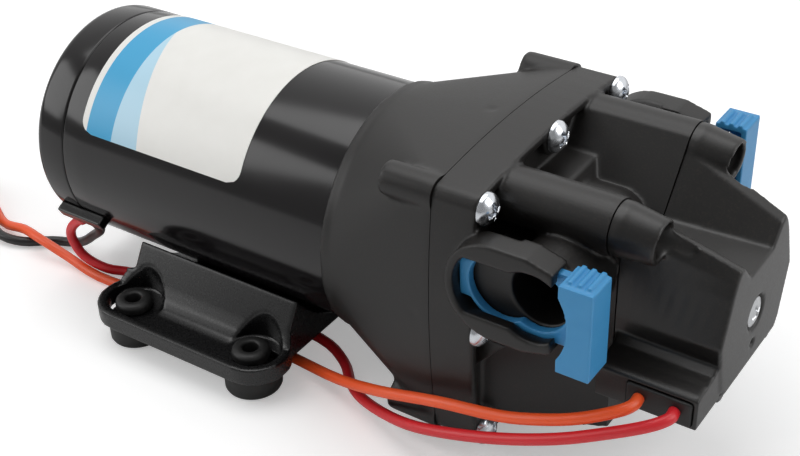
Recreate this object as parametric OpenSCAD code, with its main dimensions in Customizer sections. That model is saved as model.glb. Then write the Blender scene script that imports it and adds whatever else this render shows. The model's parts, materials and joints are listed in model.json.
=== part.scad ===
// Caravan water pump: a wobble plate diaphragm pump on a brushed motor, standing on a bracket with
// rubber feet.
// Origin: centre of the foot pattern on the floor. +X runs along the motor axis towards the pump head.
// +Z is up.

/* [Stance] */
// Height of the motor axis above the floor
axis_h = 42.8; // [42.5:0.1:48]
// Distance between feet along the motor
foot_spacing_x = 43; // [40:0.5:46]
// Distance between feet across the motor
foot_spacing_y = 82; // [80:0.5:92]
// From the centre of the feet to the front joint of the motor
joint_x = 42.4; // [40:0.2:46]
// Diameter of a rubber foot
foot_d = 16; // [14:0.5:17]
// Diameter of a foot's top flange
foot_top_d = 10.6; // [9.6:0.2:12]
// Diameter of the screw hole in a foot
foot_bore_d = 4.4; // [3.6:0.1:5]

/* [Bracket] */
// Length of the bracket's tray along the motor
bracket_l = 65; // [62:0.5:70]
// Length of the bracket's walls along the motor
wall_l = 57; // [54:0.5:60]
// Margin from the feet to the bracket's long edge
tray_margin = 9.5; // [9:0.1:12]
// Height of the bracket's underside above the floor
bracket_clear = 6.8; // [5:0.1:8]
// Height of the tray's rim above the underside
rim_h = 5.3; // [4.5:0.1:7]
// Thickness of the tray's floor
tray_floor = 2.8; // [2:0.1:3.5]
// Wall of the bracket
bracket_wall = 2.6; // [2:0.1:3.5]
// Gap between the can and the bracket's crest
crest_gap = 1.5; // [0.8:0.1:2.5]

/* [Motor] */
// Outer diameter of the motor can
can_d = 67; // [64:0.5:68]
// Length of the can that shows
can_l = 92.4; // [88:0.2:104]
// Wall of the can
can_wall = 1.6; // [1.2:0.1:2]
// Length of the rear cap
rear_cap_l = 11.3; // [10:0.1:15]
// Rounded edge of the rear cap
rear_edge_r = 3; // [1:0.1:4]
// Diameter of the motor shaft
shaft_d = 8; // [6:0.1:9]
// Diameter of the armature core
core_d = 43; // [38:0.5:45]
// Length of the armature core
core_l = 38; // [30:0.5:40]
// Diameter of the commutator
commutator_d = 22; // [20:0.5:24]
// Running clearance of shafts in their bearings
run_clear = 0.04; // [0.02:0.01:0.08]

/* [Drive] */
// Tilt of the drive cam
cam_tilt = 4; // [2:0.5:5]
// Length of the drive housing
housing_l = 36; // [35:0.5:42]
// How far the housing's rear lip covers the can
lip_l = 4; // [3:0.2:5]
// Wall of the rear lip
lip_wall = 1.4; // [1:0.1:2.2]
// Radius from the axis to the pistons
piston_pitch_r = 17; // [16:0.2:18]
// Diameter of a piston pad
piston_d = 17; // [14:0.5:18]

/* [Head] */
// Half height of the head flange at the middle of its sides
flange_half = 38.8; // [38.4:0.1:41]
// Thickness of the head flange
flange_t = 12; // [11:0.2:14]
// How far the corner screws sit in from the middle of the flange's sides, each way
corner_c = 5.8; // [5.5:0.1:6.2]
// Rounding of the flange's corners
corner_r = 3.6; // [3.4:0.1:4.2]
// How far the side screws sit in from the middle of the flange's sides
side_c = 3.1; // [2.9:0.05:3.4]
// Diameter of the screw heads
screw_head_d = 8.1; // [7:0.1:8.4]
// Diameter of the screw shanks
screw_d = 3.9; // [3.4:0.1:4]
// Front face of the head, from the motor's front joint
head_end = 76; // [74:0.5:78]
// Height of the ridges' axes above the motor axis
ridge_z = 30.5; // [29:0.1:31]
// Distance of the ridges from the middle
ridge_y = 20.6; // [20:0.1:21.4]
// Radius of the ridges
ridge_r = 6.9; // [6.4:0.1:7.2]

/* [Ports] */
// Port axis, from the motor's front joint
port_x = 65.4; // [65:0.1:65.6]
// Port axis above the motor axis
port_z = 17.4; // [16.6:0.1:18]
// Diameter of the port bore
port_d = 15.6; // [15:0.1:15.8]
// Outer face of the guide frame from the middle
frame_y = 42.9; // [42.4:0.1:44]
// Half height of the guide frame
frame_half = 13; // [12.6:0.1:13.4]
// Thickness of the clip plate
clip_t = 2.4; // [2:0.1:2.6]
// Travel of the clip
clip_travel = 9; // [8:0.5:9]
// Clearance of the clip in its track
clip_clear = 0.25; // [0.15:0.05:0.35]
// Width of the clip's handle
handle_w = 8.4; // [7.5:0.1:9.5]
// Height of the clip's handle
handle_h = 23.6; // [21:0.2:26]

/* [Switch cap] */
// Front face of the cap, from the motor's front joint
cap_end = 103; // [101:0.5:106]
// Half width of the cap at the joint
cap_half = 20; // [19.5:0.1:20.4]
// Height of the switch axis above the motor axis
switch_z = 4; // [3:0.1:4.6]
// Diameter of the leads
lead_d = 3; // [2.6:0.1:3.2]

/* [Hidden] */
$fn = 72;
fine = 0.01;

can_r = can_d / 2;
can_in_r = can_r - can_wall;
shaft_r = shaft_d / 2;
seat_clear = 0.05;
corner_at = flange_half - corner_c;
side_at = flange_half - side_c;

// Motor stations along the axis, measured from the front joint.
rear_x = -can_l - rear_cap_l;
rear_wall = 2.2;
spigot_l = 4;
core_x0 = -62;
winding_l = 9;
commutator_x0 = -84;
commutator_l = 11;
bush_r = 7;
bearing_r = 11;
bearing_l = 7;
front_plate_x = -4;
front_plate_t = 5;
brush_w = 6;
brush_h = 5;
brush_gap = 0.3;
brush_l = 10;
brush_tube_wall = 1.4;
brush_spring_r = 1.7;
brush_wire = 0.7;
brush_spring_gap = 0.4;
brush_back = 4;
brush_plate_t = 2.5;
brush_plate_x = -can_l + spigot_l + 0.5;
brush_x = commutator_x0 + commutator_l / 2;
brush_end = commutator_d / 2 + brush_gap + brush_l;
brush_spring_l = can_in_r - brush_back - brush_end;
air_gap = 1;
magnet_over = 4;
slot_depth = 8;
slot_w = 2.4;
shaft_x0 = rear_x + rear_wall + 0.8;
label_x0 = -85.4;
label_l = 57;
label_angle = 134;
label_t = 0.15;
label_gap = 0.05;

// Drive stations.
wobble_x = housing_l - 16;
cam_r = 7;
cam_journal = [-7, 4.5];
cam_hub_x0 = 6;
bearing_outer_r = 13;
bearing_half = 4;
shaft_x1 = wobble_x + cam_journal[1] - 0.8;
plate_disc_z = 5.4;
plate_disc_t = 3;
pad_reach = piston_pitch_r + piston_d / 2;
plate_disc_r = pad_reach;
pad_t = 2.4;
pad_z = 10.2;
wobble_room = 1.9;
ledge_r = pad_reach + wobble_room;
lip_r = can_r + lip_wall;
boss_l = 15;
boss_r = 4.4;
pilot_r = screw_d / 2 + seat_clear;
pilot_l = 7.5;
screw_land = 1.55;
diaphragm_t = 2;
diaphragm_r = side_at - pilot_r - screw_land;

// Head stations.
flange_x1 = housing_l + flange_t;
flange_floor = flange_x1 - 2.5;
screw_seat = flange_x1;
screw_boss_r = 5;
screw_head_h = 3.4;
valve_t = 5;
valve_r = diaphragm_r - 0.2;
valve_x1 = housing_l + valve_t;
seal_w = 2;
chamber_depth = 3;
chamber_r = 8;
inlet_r = piston_pitch_r + 4.5;
outlet_r = piston_pitch_r - 6.5;
rim_w = 2.6;
side_sag = corner_c - corner_r;
side_r = (corner_at * corner_at + side_sag * side_sag) / (2 * side_sag);
outlet_plenum_r = 13.4;
outlet_plenum_x1 = 66;
inlet_plenum_r = [15.4, valve_r - 6];
inlet_plenum_t = 3;
switch_r = 13;
cover_x1 = 64;
cover_z = 15.5;
cover_r = 9.5;
step_x = [55, 57.5];
step_z = [22.4, 27.5];
step_half = ridge_y - ridge_r;
ridge_flat = 4.4;
ridge_top = ridge_z + 5.7;
body_half = corner_at - 3;
body_rear_low = corner_at;
body_front_low = corner_at - 4;

// Port and clip stations, on the near side.
frame_lip = 3.2;
frame_back = 1.4;
track_y = frame_y - frame_lip;
port_face = track_y - clip_t - 2 * clip_clear;
frame_base = port_face - frame_back;
frame_c = 55.7;
frame_x1 = 71;
frame_bend = 64;
frame_tip = frame_half - 2;
lobe_r = port_d / 2 + 0.9;
lobe_rim = 1;
grip_r = port_d / 2 + 0.25;
lip_half = 7.6;
lip_end_r = 11.4;
lip_port_r = 9.2;
lip_left = port_x - clip_travel;
plate_half = lobe_r + lobe_rim;
port_boss_r = min(port_d / 2 + 2.6, head_end - port_x - 0.2);
tab_half = 5.2;
tab_x0 = 45.2;
port_floor = 20;
handle_x0 = 74.2;
handle_y = [frame_y - 5.8, frame_y + 3.3];
waist_r = 16;
waist_depth = 2.4;
waist_y = 4.6;
handle_wall = 1.4;
handle_face = 1.6;
handle_rib = 1.2;
grip_rib_w = 1.2;
grip_rib_step = 2.4;
grip_rib_h = 0.8;
grip_rib_in = 1.6;
gusset_in = 1.9;
gusset_t = 3;
gusset_h = 23;
gusset_top = port_z - port_boss_r + 1;

// Cap stations.
gasket_t = 0.5;
gasket_in = 0.6;
room_top = 16;
cap_x0 = head_end + gasket_t;
stub_end = 86.9;
stub_r = ridge_r - 0.3;
stub_tip_r = ridge_r - 1.3;
stub_dip = 4;
stub_foot = 1;
cap_hole_r = 4;
scoop_r = 4.4;
scoop_x = 84;
scoop_l = 8;
scoop_turn = [0, 10, -14];
cap_low = -10.5;
cap_wall = 2.4;
valley_z = 19.6;
chin = [[76.9, -31, -10.2], [102.6, -18, -1]];
chin_sweep = [[0, -0.6], [1.4, 0], [5, 0.2], [8.5, 0.6], [10.5, 1.8]];
cap_foot_y = 14.2;
cap_foot_r = 3;
cap_foot_l = 8;
grommet_x = [85.2, 101.4];
grommet_z = [-9.2, -2.7];
grommet_out = 0.6;
grommet_in = 3.4;
lead_z = -6;
orange_x = 88.5;
red_x = 97.4;
cap_screw_seat = 79;
cap_head_r = 3.6;
cap_head_h = 2.6;
cap_bite = 15;
spring_r = 5.2;
spring_wire = 1.1;
spring_turns = 6;
seat_x0 = 94.2;
seat_l = 3;
plunger_x0 = head_end + 0.3;
plunger_flange_x = 82.2;
plunger_flange_t = 1.5;
plunger_flange_r = 8;
plunger_r = 4;
plunger_nose_l = 6;
plunger_nose_r = 3.4;
plunger_arm = [13.6, -1, 3];
button_x0 = plunger_flange_x + plunger_flange_t + 0.3;
micro = [[85.2, 9, -2], [95.2, 15, 12]];

// Wire block on the side of the can: angle from the top towards the near side.
block_angle = 120;
block_x = [-100, -83];
block_w = 3.4;
block_h = 3.2;

// Lead routes, in the axis frame. Points are chosen by hand.
floor_z = -axis_h;
lead_r = lead_d / 2;
orange_route = [
  [88.5, -31.6, -6], [88.5, -34.6, -6], [86, -37.6, -6.8], [78, -40.4, -10.5], [69, -42, -13.8],
  [58, -42.6, -17.3], [40.5, -42.4, -21], [21, -40, -28], [3.5, -34.4, -35.6], [-14, -29.4, -40],
  [-32, -27, -41.2], [-52, -26.4, -41.2],
  [-72, -27, -41.2], [-92, -28.2, -41.2], [-106, -26.6, -40.2], [-118, -26.5, -37.6], [-128, -24.3, -38.4],
  [-140, -22.6, -40.8], [-154, -15.4, -40.4], [-167, -11.4, -40.4], [-170, -11.4, -40.4]
];
red_route = [
  [97.4, -31.6, -6], [97.4, -34.6, -6], [94, -38, -7.2], [86, -40.6, -11], [74, -43.4, -16.4],
  [59, -45, -22.2],
  [42, -45, -28], [28.5, -42, -33.2], [14, -36, -38], [4, -29.4, -41], [-4, -22, -41.2], [-16, -17, -41.2],
  [-40, -16.4, -41.2], [-64, -18, -41.2], [-84, -21, -41.2], [-92, -24.6, -40.2], [-99.5, -26, -37.6],
  [-103, -26.4, -32.6], [-102.4, -26.8, -28], [-97.6, -27.6, -23], [-94.4, -28.3, -21.15],
  [-94.4, -29.5, -19.1]
];
black_route = [
  [-88, -29.5, -19.1], [-88, -28.3, -21.15], [-90.5, -26, -25], [-97, -23, -30.5], [-105, -20.6, -37],
  [-112, -19.4, -40.6],
  [-119, -21.6, -41.2], [-127, -27, -41.2], [-136, -28.4, -40.4], [-146, -24, -38], [-158.1, -15.4, -36.8],
  [-160.7, -13.9, -36.8]
];
coil_centre = [-170, -30];
coil_z = -40.4;
coil_r = 18.6;
coil_step = 3.6;
coil_turns = 2;
tuck = 4;
coil_rings = 24;
layer_step = 3.6;
tie_t = 0.7;
tie_w = 2.4;
tie_gap = 0.3;
tie_in = coil_r - coil_step * coil_turns - lead_r - tie_gap;
tie_out = coil_r + lead_r + tie_gap;
tie_h = coil_z + layer_step + lead_r + tie_gap + tie_t - floor_z;
tip_l = 6;
tip_r = 0.9;

// Frames of reference.
module at_axis() translate([joint_x, 0, axis_h]) children();
module yz(x) translate([x, 0, 0]) rotate([90, 0, 90]) children();
module xz(y) translate([0, y, 0]) rotate([90, 0, 0]) children();
module tilted() translate([wobble_x, 0, 0]) rotate([0, -cam_tilt, 0]) rotate([90, 0, 90]) children();
module both_sides() {
  children();
  mirror([0, 1, 0]) children();
}
module four_corners(c) {
  for (y = [-c, c], z = [-c, c]) translate([0, y, z]) children();
}
// Outline closed by its mirror image across the middle.
function mirrored(outline) =
  concat(outline, [for (i = [len(outline) - 1 : -1 : 0]) [-outline[i][0], outline[i][1]]]);
module box(low, high) translate(low) cube(high - low);
module ring(h, r_out, r_in) {
  difference() {
    cylinder(h = h, r = r_out);
    translate([0, 0, -1]) cylinder(h = h + 2, r = r_in);
  }
}

// Square with bulged sides and round corners, of thickness t along X from x.
module bulged_plate(x, t, inset = 0) {
  half = flange_half - inset;
  yz(x) {
    for (turn = [0, 90]) rotate([0, 0, turn]) intersection() {
      translate([-corner_at, -2 * half, 0]) cube([2 * corner_at, 4 * half, t]);
      translate([0, half - side_r, 0]) cylinder(h = t, r = side_r, $fn = 240);
      translate([0, side_r - half, 0]) cylinder(h = t, r = side_r, $fn = 240);
    }
  }
  four_corners(corner_at) yz(x) cylinder(h = t, r = corner_r - inset);
}

// Place of each head screw, as [y, z].
screw_places = concat(
  [for (y = [-corner_at, corner_at], z = [-corner_at, corner_at]) [y, z]],
  [[0, side_at], [0, -side_at], [side_at, 0], [-side_at, 0]]
);

// Tube along a route.
function unit(v) = v / norm(v);
function tangent(p, i) = unit(p[min(i + 1, len(p) - 1)] - p[max(i - 1, 0)]);
lean = [0.2, 0.35, 0.9];
function ring_points(p, i, r, sides) =
  let (t = tangent(p, i), s = unit(cross(t, lean)), u = cross(s, t))
  [for (k = [0 : sides - 1]) p[i] + r * (cos(360 * k / sides) * s + sin(360 * k / sides) * u)];
module tube(p, r, sides) {
  n = len(p);
  points = [for (i = [0 : n - 1]) each ring_points(p, i, r, sides)];
  wall = [for (i = [0 : n - 2], k = [0 : sides - 1])
    let (a = i * sides + k, b = i * sides + (k + 1) % sides)
    each [[a, a + sides, b], [b, a + sides, b + sides]]];
  last = (n - 1) * sides;
  ends = [for (k = [1 : sides - 2]) each [[0, k, k + 1], [last, last + k + 1, last + k]]];
  polyhedron(points = points, faces = concat(wall, ends), convexity = 8);
}
// Smooth curve through the route's points, with one more point between each two.
function halfway(p, i) = (9 * (p[i] + p[i + 1]) - p[max(i - 1, 0)] - p[min(i + 2, len(p) - 1)]) / 16;
function smooth(p) = [for (i = [0 : len(p) - 1])
  each (i == 0 || i >= len(p) - 2 ? [p[i]] : [p[i], halfway(p, i)])];
// Flat spiral inwards, with straight ends.
function spiral(start, z) =
  let (steps = coil_turns * coil_rings)
  [for (i = [0 : steps])
    let (a = start + 360 * i / coil_rings, r = coil_r - coil_step * i / coil_rings - tucked(i))
    [coil_centre[0] + r * cos(a), coil_centre[1] + r * sin(a), z]];
function tucked(i) = tuck * pow(max(0, 1 - 4 * (coil_turns - i / coil_rings)), 2);
function straight_on(p, l) = concat(p, [p[len(p) - 1] + l * tangent(p, len(p) - 1)]);
orange_turns = straight_on(spiral(90, coil_z), lead_d);
black_turns = straight_on(spiral(60, coil_z + layer_step), lead_d);
function least_gap(p, r) =
  min([for (i = [0 : len(p) - 1], j = [i + coil_rings / 2 : 1 : len(p) - 1]) norm(p[i] - p[j])]) - 2 * r;
function helix(x, l, r, turns) =
  [for (i = [0 : turns * 12]) [x + l * i / (turns * 12), r * cos(30 * i), r * sin(30 * i)]];

// Motor.
module motor_can() color("#141416") at_axis() yz(-can_l) ring(can_l + lip_l, can_r, can_in_r);
module rear_cap() color("#161618") at_axis() yz(rear_x) difference() {
  union() {
    rotate_extrude() difference() {
      union() {
        translate([0, rear_edge_r]) square([can_r, rear_cap_l - rear_edge_r]);
        square([can_r - rear_edge_r, rear_edge_r]);
        translate([can_r - rear_edge_r, rear_edge_r]) circle(rear_edge_r);
      }
      translate([-can_r, -1]) square([can_r, rear_cap_l + 2]);
      translate([0, rear_wall]) square([can_r - 3, rear_cap_l]);
    }
    translate([0, 0, rear_cap_l - fine]) ring(spigot_l, can_in_r, can_in_r - 2.4);
    cylinder(h = rear_cap_l - 1, r = bush_r + 3);
    translate([0, 0, rear_cap_l - 3]) ring(3, can_in_r - 1, can_in_r - 2.4);
  }
  translate([0, 0, rear_wall]) cylinder(h = rear_cap_l, r = bush_r);
}
module front_plate() color("#8d8f92") at_axis() yz(front_plate_x) ring(front_plate_t, can_in_r, bearing_r);
module field_magnets() color("#4a4a4d") at_axis() yz(core_x0 - magnet_over) for (turn = [25, 205])
  rotate([0, 0, turn]) rotate_extrude(angle = 130) translate([core_d / 2 + air_gap, 0])
    square([can_in_r - core_d / 2 - air_gap, core_l + 2 * magnet_over]);
module rear_bush() color("#a5813f") at_axis() yz(rear_x + rear_wall)
  ring(rear_cap_l - rear_wall - 1, bush_r, shaft_r + run_clear);
module front_bearing() color("#b9bcc0") at_axis() yz(front_plate_x)
  ring(bearing_l, bearing_r, shaft_r + run_clear);
module brush_holder() color("#7a5a3a") at_axis() difference() {
  union() {
    yz(brush_plate_x) ring(brush_plate_t, can_in_r, commutator_d / 2 + 3);
    for (side = [0, 180]) rotate([side, 0, 0]) box(
      [brush_plate_x + brush_plate_t - fine, -brush_h / 2 - brush_tube_wall, commutator_d / 2 + 2],
      [brush_x + brush_w / 2 + brush_tube_wall, brush_h / 2 + brush_tube_wall, can_in_r - 2]);
  }
  for (side = [0, 180]) rotate([side, 0, 0]) box(
    [brush_x - brush_w / 2 - seat_clear, -brush_h / 2 - seat_clear, 0],
    [brush_x + brush_w / 2 + seat_clear, brush_h / 2 + seat_clear, can_in_r - 3.2]);
}
module brushes() color("#2c2c2e") at_axis() for (side = [0, 180]) rotate([side, 0, 0]) box(
  [brush_x - brush_w / 2, -brush_h / 2, commutator_d / 2 + brush_gap],
  [brush_x + brush_w / 2, brush_h / 2, commutator_d / 2 + brush_gap + brush_l]);
module brush_springs() color("#b8a36a") at_axis() for (side = [0, 180]) rotate([side, 0, 0])
  translate([brush_x, 0, 0]) rotate([0, -90, 0])
    tube(helix(brush_end + brush_spring_gap, brush_spring_l, brush_spring_r, 4), brush_wire / 2, 6);
module motor_shaft() color("#c4c6ca") at_axis() yz(shaft_x0) cylinder(h = shaft_x1 - shaft_x0, r = shaft_r);
module armature_core() color("#77797d") at_axis() yz(core_x0) difference() {
  ring(core_l, core_d / 2, shaft_r);
  for (slot = [0 : 9]) rotate([0, 0, 36 * slot])
    translate([core_d / 2 - slot_depth, -slot_w / 2, -1]) cube([slot_depth + 4, slot_w, core_l + 2]);
}
module armature_winding() color("#b0622e") at_axis()
  for (x = [core_x0 - winding_l, core_x0 + core_l]) yz(x) rotate_extrude()
  polygon([[shaft_r + 2, 1], [shaft_r + 4, 0], [core_d / 2 - 6, 0], [core_d / 2 - 3, 2.5],
    [core_d / 2 - 3, winding_l - 2.5],
    [core_d / 2 - 6, winding_l], [shaft_r + 4, winding_l], [shaft_r + 2, winding_l - 1]]);
module commutator() color("#b87333") at_axis() yz(commutator_x0) difference() {
  ring(commutator_l, commutator_d / 2, shaft_r);
  for (bar = [0 : 9]) rotate([0, 0, 36 * bar + 18])
    translate([commutator_d / 2 - 1.5, -0.3, -1]) cube([3, 0.6, commutator_l + 2]);
}
module wire_block() color("#1b1b1c") at_axis() rotate([block_angle - 90, 0, 0]) difference() {
  box([block_x[0], -can_r - block_h, -block_w / 2], [block_x[1], -can_r + 2, block_w / 2]);
  yz(block_x[0] - 1) cylinder(h = block_x[1] - block_x[0] + 2, r = can_r);
}
module label() color("#f4f5f6") at_axis() yz(label_x0) rotate([0, 0, 90 - label_angle / 2])
  rotate_extrude(angle = label_angle)
  translate([can_r + label_gap, 0]) square([label_t, label_l]);

// Bracket and feet.
tray_half = foot_spacing_y / 2 + tray_margin;
tray_r = 10;
tray_top = bracket_clear + tray_floor;
foot_line = foot_spacing_y / 2;
foot_neck_r = 4.2;
slot_r = foot_neck_r + 0.1;
slot_l = 4;
scallop_r = 8.6;
wall_shift = 1.1;
wall_x = [wall_shift - wall_l / 2, wall_shift + wall_l / 2];
crest_y = 29.4;
crest_z = axis_h - 19.6;
saddle_half = 13;
saddle_end = 11;
saddle_rib = 1.5;
saddle_t = 2.4;
belly_r = can_r + saddle_t;
hollow_h = 6;
bracket_screw_x = 14;
bracket_head_r = 3.6;
bracket_head_h = 2.6;
bracket_hole_r = screw_d / 2 + 0.25;
bracket_seat = min(bracket_clear, axis_h - belly_r);
module bracket_plan(h, inset) {
  l = bracket_l / 2 - inset;
  w = tray_half - inset;
  r = tray_r - inset;
  box([wall_x[0] + inset, r - w, 0], [wall_x[1] - inset, w - r, h]);
  box([r - l, -w, 0], [l - r, w, h]);
  for (x = [r - l, l - r], y = [r - w, w - r]) translate([x, y, 0]) cylinder(h = h, r = r);
}
// Half of the wall's outer face: a flare up from the tray's floor, then the wall up to its crest.
flare = [[0, 0], [2.2, 0.6], [4.4, 2.2], [6.4, 5], [7.19, 6.3]];
low_side = concat([[foot_line, bracket_clear]], [for (p = flare) [foot_line - p[0], tray_top + p[1]]]);
high_side = [[crest_y, crest_z]];
module along_bracket(x) yz(x[0]) linear_extrude(x[1] - x[0]) children();
module can_room(r) translate([0, 0, axis_h]) yz(-bracket_l / 2 - 1) cylinder(h = bracket_l + 2, r = r);
module at_feet() for (x = [-1, 1], y = [-1, 1]) translate([x * foot_spacing_x / 2, y * foot_line, 0]) {
  $out = x;
  children();
}
module base_bracket() color("#121213") difference() {
  union() {
    difference() {
      translate([0, 0, bracket_clear]) bracket_plan(rim_h, 0);
      translate([0, 0, tray_top]) bracket_plan(rim_h, bracket_wall);
    }
    // Collars round the feet, rising into the walls.
    intersection() {
      along_bracket([-bracket_l / 2, bracket_l / 2]) polygon(mirrored(low_side));
      bracket_plan(axis_h, 0);
    }
    along_bracket(wall_x) polygon(mirrored(concat(low_side, high_side)));
    // Belly that stays under the can.
    intersection() {
      can_room(belly_r);
      box([wall_x[0], -foot_line, 0], [wall_x[1], foot_line, tray_top]);
    }
  }
  // Room for the can, with a saddle left under its middle.
  difference() {
    can_room(can_r + crest_gap);
    box([saddle_end - bracket_l / 2, -saddle_half, 0], [bracket_l / 2 - saddle_end, saddle_half, axis_h]);
  }
  can_room(can_r);
  // Hollow underside between the feet, open below.
  both_sides() difference() {
    box([wall_x[0] + bracket_wall, saddle_half + saddle_rib, 0],
      [wall_x[1] - bracket_wall, foot_line - foot_d / 2 - 2, bracket_clear + hollow_h]);
    can_room(belly_r);
  }
  // Slots for the feet and room for a driver above them.
  at_feet() {
    cylinder(h = axis_h, r = slot_r);
    translate([$out * slot_l, 0, 0]) cylinder(h = axis_h, r = slot_r);
    translate([min($out * slot_l, 0), -slot_r, 0]) cube([slot_l, 2 * slot_r, axis_h]);
  }
  intersection() {
    at_feet() translate([0, 0, tray_top]) cylinder(h = axis_h, r = scallop_r);
    bracket_plan(axis_h, bracket_wall);
  }
  // Screw holes into the can.
  for (x = [-1, 1]) translate([x * bracket_screw_x, 0, 0]) cylinder(h = axis_h, r = bracket_hole_r);
}
module bracket_screws() color("#c9ccd0") for (x = [-1, 1])
  translate([x * bracket_screw_x, 0, bracket_seat - bracket_head_h]) {
  cylinder(h = bracket_head_h, r = bracket_head_r);
  cylinder(h = axis_h - can_r - bracket_seat + bracket_head_h, r = screw_d / 2);
}
module foot(x, y) color("#1d1d1e") translate([x * foot_spacing_x / 2, y * foot_spacing_y / 2, 0])
  rotate_extrude()
  polygon([[foot_bore_d / 2, 0], [foot_d / 2 - 0.6, 0], [foot_d / 2, 0.6], [foot_d / 2, bracket_clear],
    [foot_neck_r, bracket_clear], [foot_neck_r, tray_top], [foot_top_d / 2, tray_top],
    [foot_top_d / 2, tray_top + 2], [foot_top_d / 2 - 1, tray_top + 3.1],
    [foot_bore_d / 2 + 0.5, tray_top + 3.1], [foot_bore_d / 2, tray_top + 2.6]]);

// Drive.
module drive_cam() color("#8a8c90") at_axis() difference() {
  union() {
    yz(cam_hub_x0) cylinder(h = wobble_x + cam_journal[0] - cam_hub_x0 + 2, r = cam_r + 1.6);
    tilted() translate([0, 0, cam_journal[0]]) cylinder(h = cam_journal[1] - cam_journal[0], r = cam_r);
  }
  yz(cam_hub_x0 - 1) cylinder(h = 40, r = shaft_r);
}
module wobble_bearing() color("#b9bcc0") at_axis() tilted() translate([0, 0, -bearing_half])
  ring(2 * bearing_half, bearing_outer_r, cam_r + run_clear);
module wobble_plate() color("#d9d6cc") at_axis() tilted() {
  translate([0, 0, -bearing_half])
    ring(bearing_half + plate_disc_z + fine, bearing_outer_r + 3, bearing_outer_r);
  translate([0, 0, plate_disc_z]) cylinder(h = plate_disc_t, r = plate_disc_r);
}
module pistons() color("#c9c6bc") at_axis() tilted()
  for (turn = [45 : 90 : 315]) rotate([0, 0, turn]) translate([piston_pitch_r, 0, 0]) {
  translate([0, 0, plate_disc_z + plate_disc_t])
    cylinder(h = pad_z - plate_disc_z - plate_disc_t + fine, r = 4);
  translate([0, 0, pad_z]) cylinder(h = pad_t, r = piston_d / 2);
}
module drive_housing() color("#1e1e20") at_axis() difference() {
  union() {
    hull() {
      yz(lip_l - 1) cylinder(h = 0.5, r = lip_r, $fn = 96);
      bulged_plate(housing_l - 1, 1, $fn = 32);
    }
    yz(0) cylinder(h = lip_l, r = lip_r);
    four_corners(corner_at) yz(housing_l - boss_l) cylinder(h = boss_l, r = boss_r);
  }
  yz(-1) cylinder(h = lip_l + 1, r = can_r);
  yz(lip_l - fine) cylinder(h = housing_l, r = ledge_r);
  yz(housing_l - diaphragm_t) cylinder(h = 5, r = diaphragm_r + 0.1);
  for (place = screw_places) translate([0, place[0], place[1]])
    yz(housing_l - pilot_l) cylinder(h = pilot_l + 1, r = pilot_r);
}
module diaphragm() color("#2a2a2b") at_axis() {
  yz(housing_l - diaphragm_t) cylinder(h = diaphragm_t, r = diaphragm_r);
}

// Head.
module around_axis() for (turn = [45 : 90 : 315]) rotate([turn, 0, 0]) children();
module valve_plate() color("#cfd0d2") at_axis() difference() {
  yz(housing_l) cylinder(h = valve_t, r = valve_r);
  yz(valve_x1 - seal_w) ring(seal_w + 1, valve_r + 1, valve_r - seal_w);
  around_axis() {
    translate([0, piston_pitch_r, 0]) yz(housing_l - 1) cylinder(h = chamber_depth + 1, r = chamber_r);
    for (r = [inlet_r, outlet_r]) translate([0, r, 0]) yz(housing_l) cylinder(h = valve_t + 1, r = 1.2);
  }
}
module inlet_valves() color("#3c3f42") at_axis() around_axis() translate([0, inlet_r, 0])
  yz(housing_l + chamber_depth - 1.2) cylinder(h = 1.2, r = 3);
module outlet_valves() color("#3c3f42") at_axis() around_axis() translate([0, outlet_r, 0])
  yz(valve_x1) cylinder(h = 1.2, r = 2.4);
module head_seal() color("#232324") at_axis() yz(valve_x1 - seal_w) ring(seal_w, valve_r, valve_r - seal_w);

// Guide frame and track of a port clip, on the near side.
module near_prism(y0, y1, outline) xz(-y0) linear_extrude(y1 - y0) polygon(outline);
module near_disc(y0, y1, x, r) translate([x, 0, port_z]) xz(-y0) cylinder(h = y1 - y0, r = r);
module near_strip(y0, y1, x0, x1, half) box([x0, -y1, port_z - half], [x1, -y0, port_z + half]);
module guide_frame() {
  near_disc(frame_base, frame_y, frame_c, frame_half);
  near_prism(frame_base, frame_y, [
    [frame_c, port_z - frame_half], [frame_bend, port_z - frame_half], [frame_x1, port_z - frame_tip],
    [frame_x1, port_z + frame_tip], [frame_bend, port_z + frame_half], [frame_c, port_z + frame_half]]);
}
module clip_track() {
  near_disc(port_face, track_y, lip_left, plate_half + clip_clear);
  near_strip(port_face, track_y, lip_left, frame_x1 + 5, plate_half + clip_clear);
  near_strip(port_face, track_y, tab_x0 - clip_clear, lip_left, tab_half + clip_clear);
  intersection() {
    near_disc(port_face, frame_y + 1, lip_left, lip_end_r);
    near_strip(port_face, frame_y + 1, 0, frame_x1, lip_half);
  }
  near_strip(port_face, frame_y + 1, lip_left, frame_x1 + 5, lip_half);
  near_disc(port_face, frame_y + 1, port_x, lip_port_r);
}

// Outer forms of the head in front of the flange.
module head_body() hull() {
  box([flange_floor - 1, -body_half, -body_rear_low], [flange_floor, body_half, 17]);
  box([head_end - 1, -cap_half, -body_front_low], [head_end, cap_half, 17]);
}
module head_ridges() both_sides() {
  translate([0, ridge_y, ridge_z]) yz(flange_floor - 1)
    cylinder(h = head_end - flange_floor + 1, r = ridge_r);
  yz(flange_floor - 1) linear_extrude(head_end - flange_floor + 1) polygon([
    [ridge_y + 5.9, ridge_z - 1.5], [cap_half - 0.8, valley_z - 0.2], [cap_half - 0.8, 14],
    [3.4, 14], [3.4, valley_z], [ridge_y - ridge_flat, ridge_top], [ridge_y - 1.5, ridge_top],
    [ridge_y, ridge_z + 4]]);
}
module screw_bosses() intersection() {
  for (place = screw_places) translate([0, place[0], place[1]])
    yz(flange_floor - 1) cylinder(h = screw_seat - flange_floor + 1, r = screw_boss_r);
  bulged_plate(flange_floor - 2, 20);
}
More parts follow.
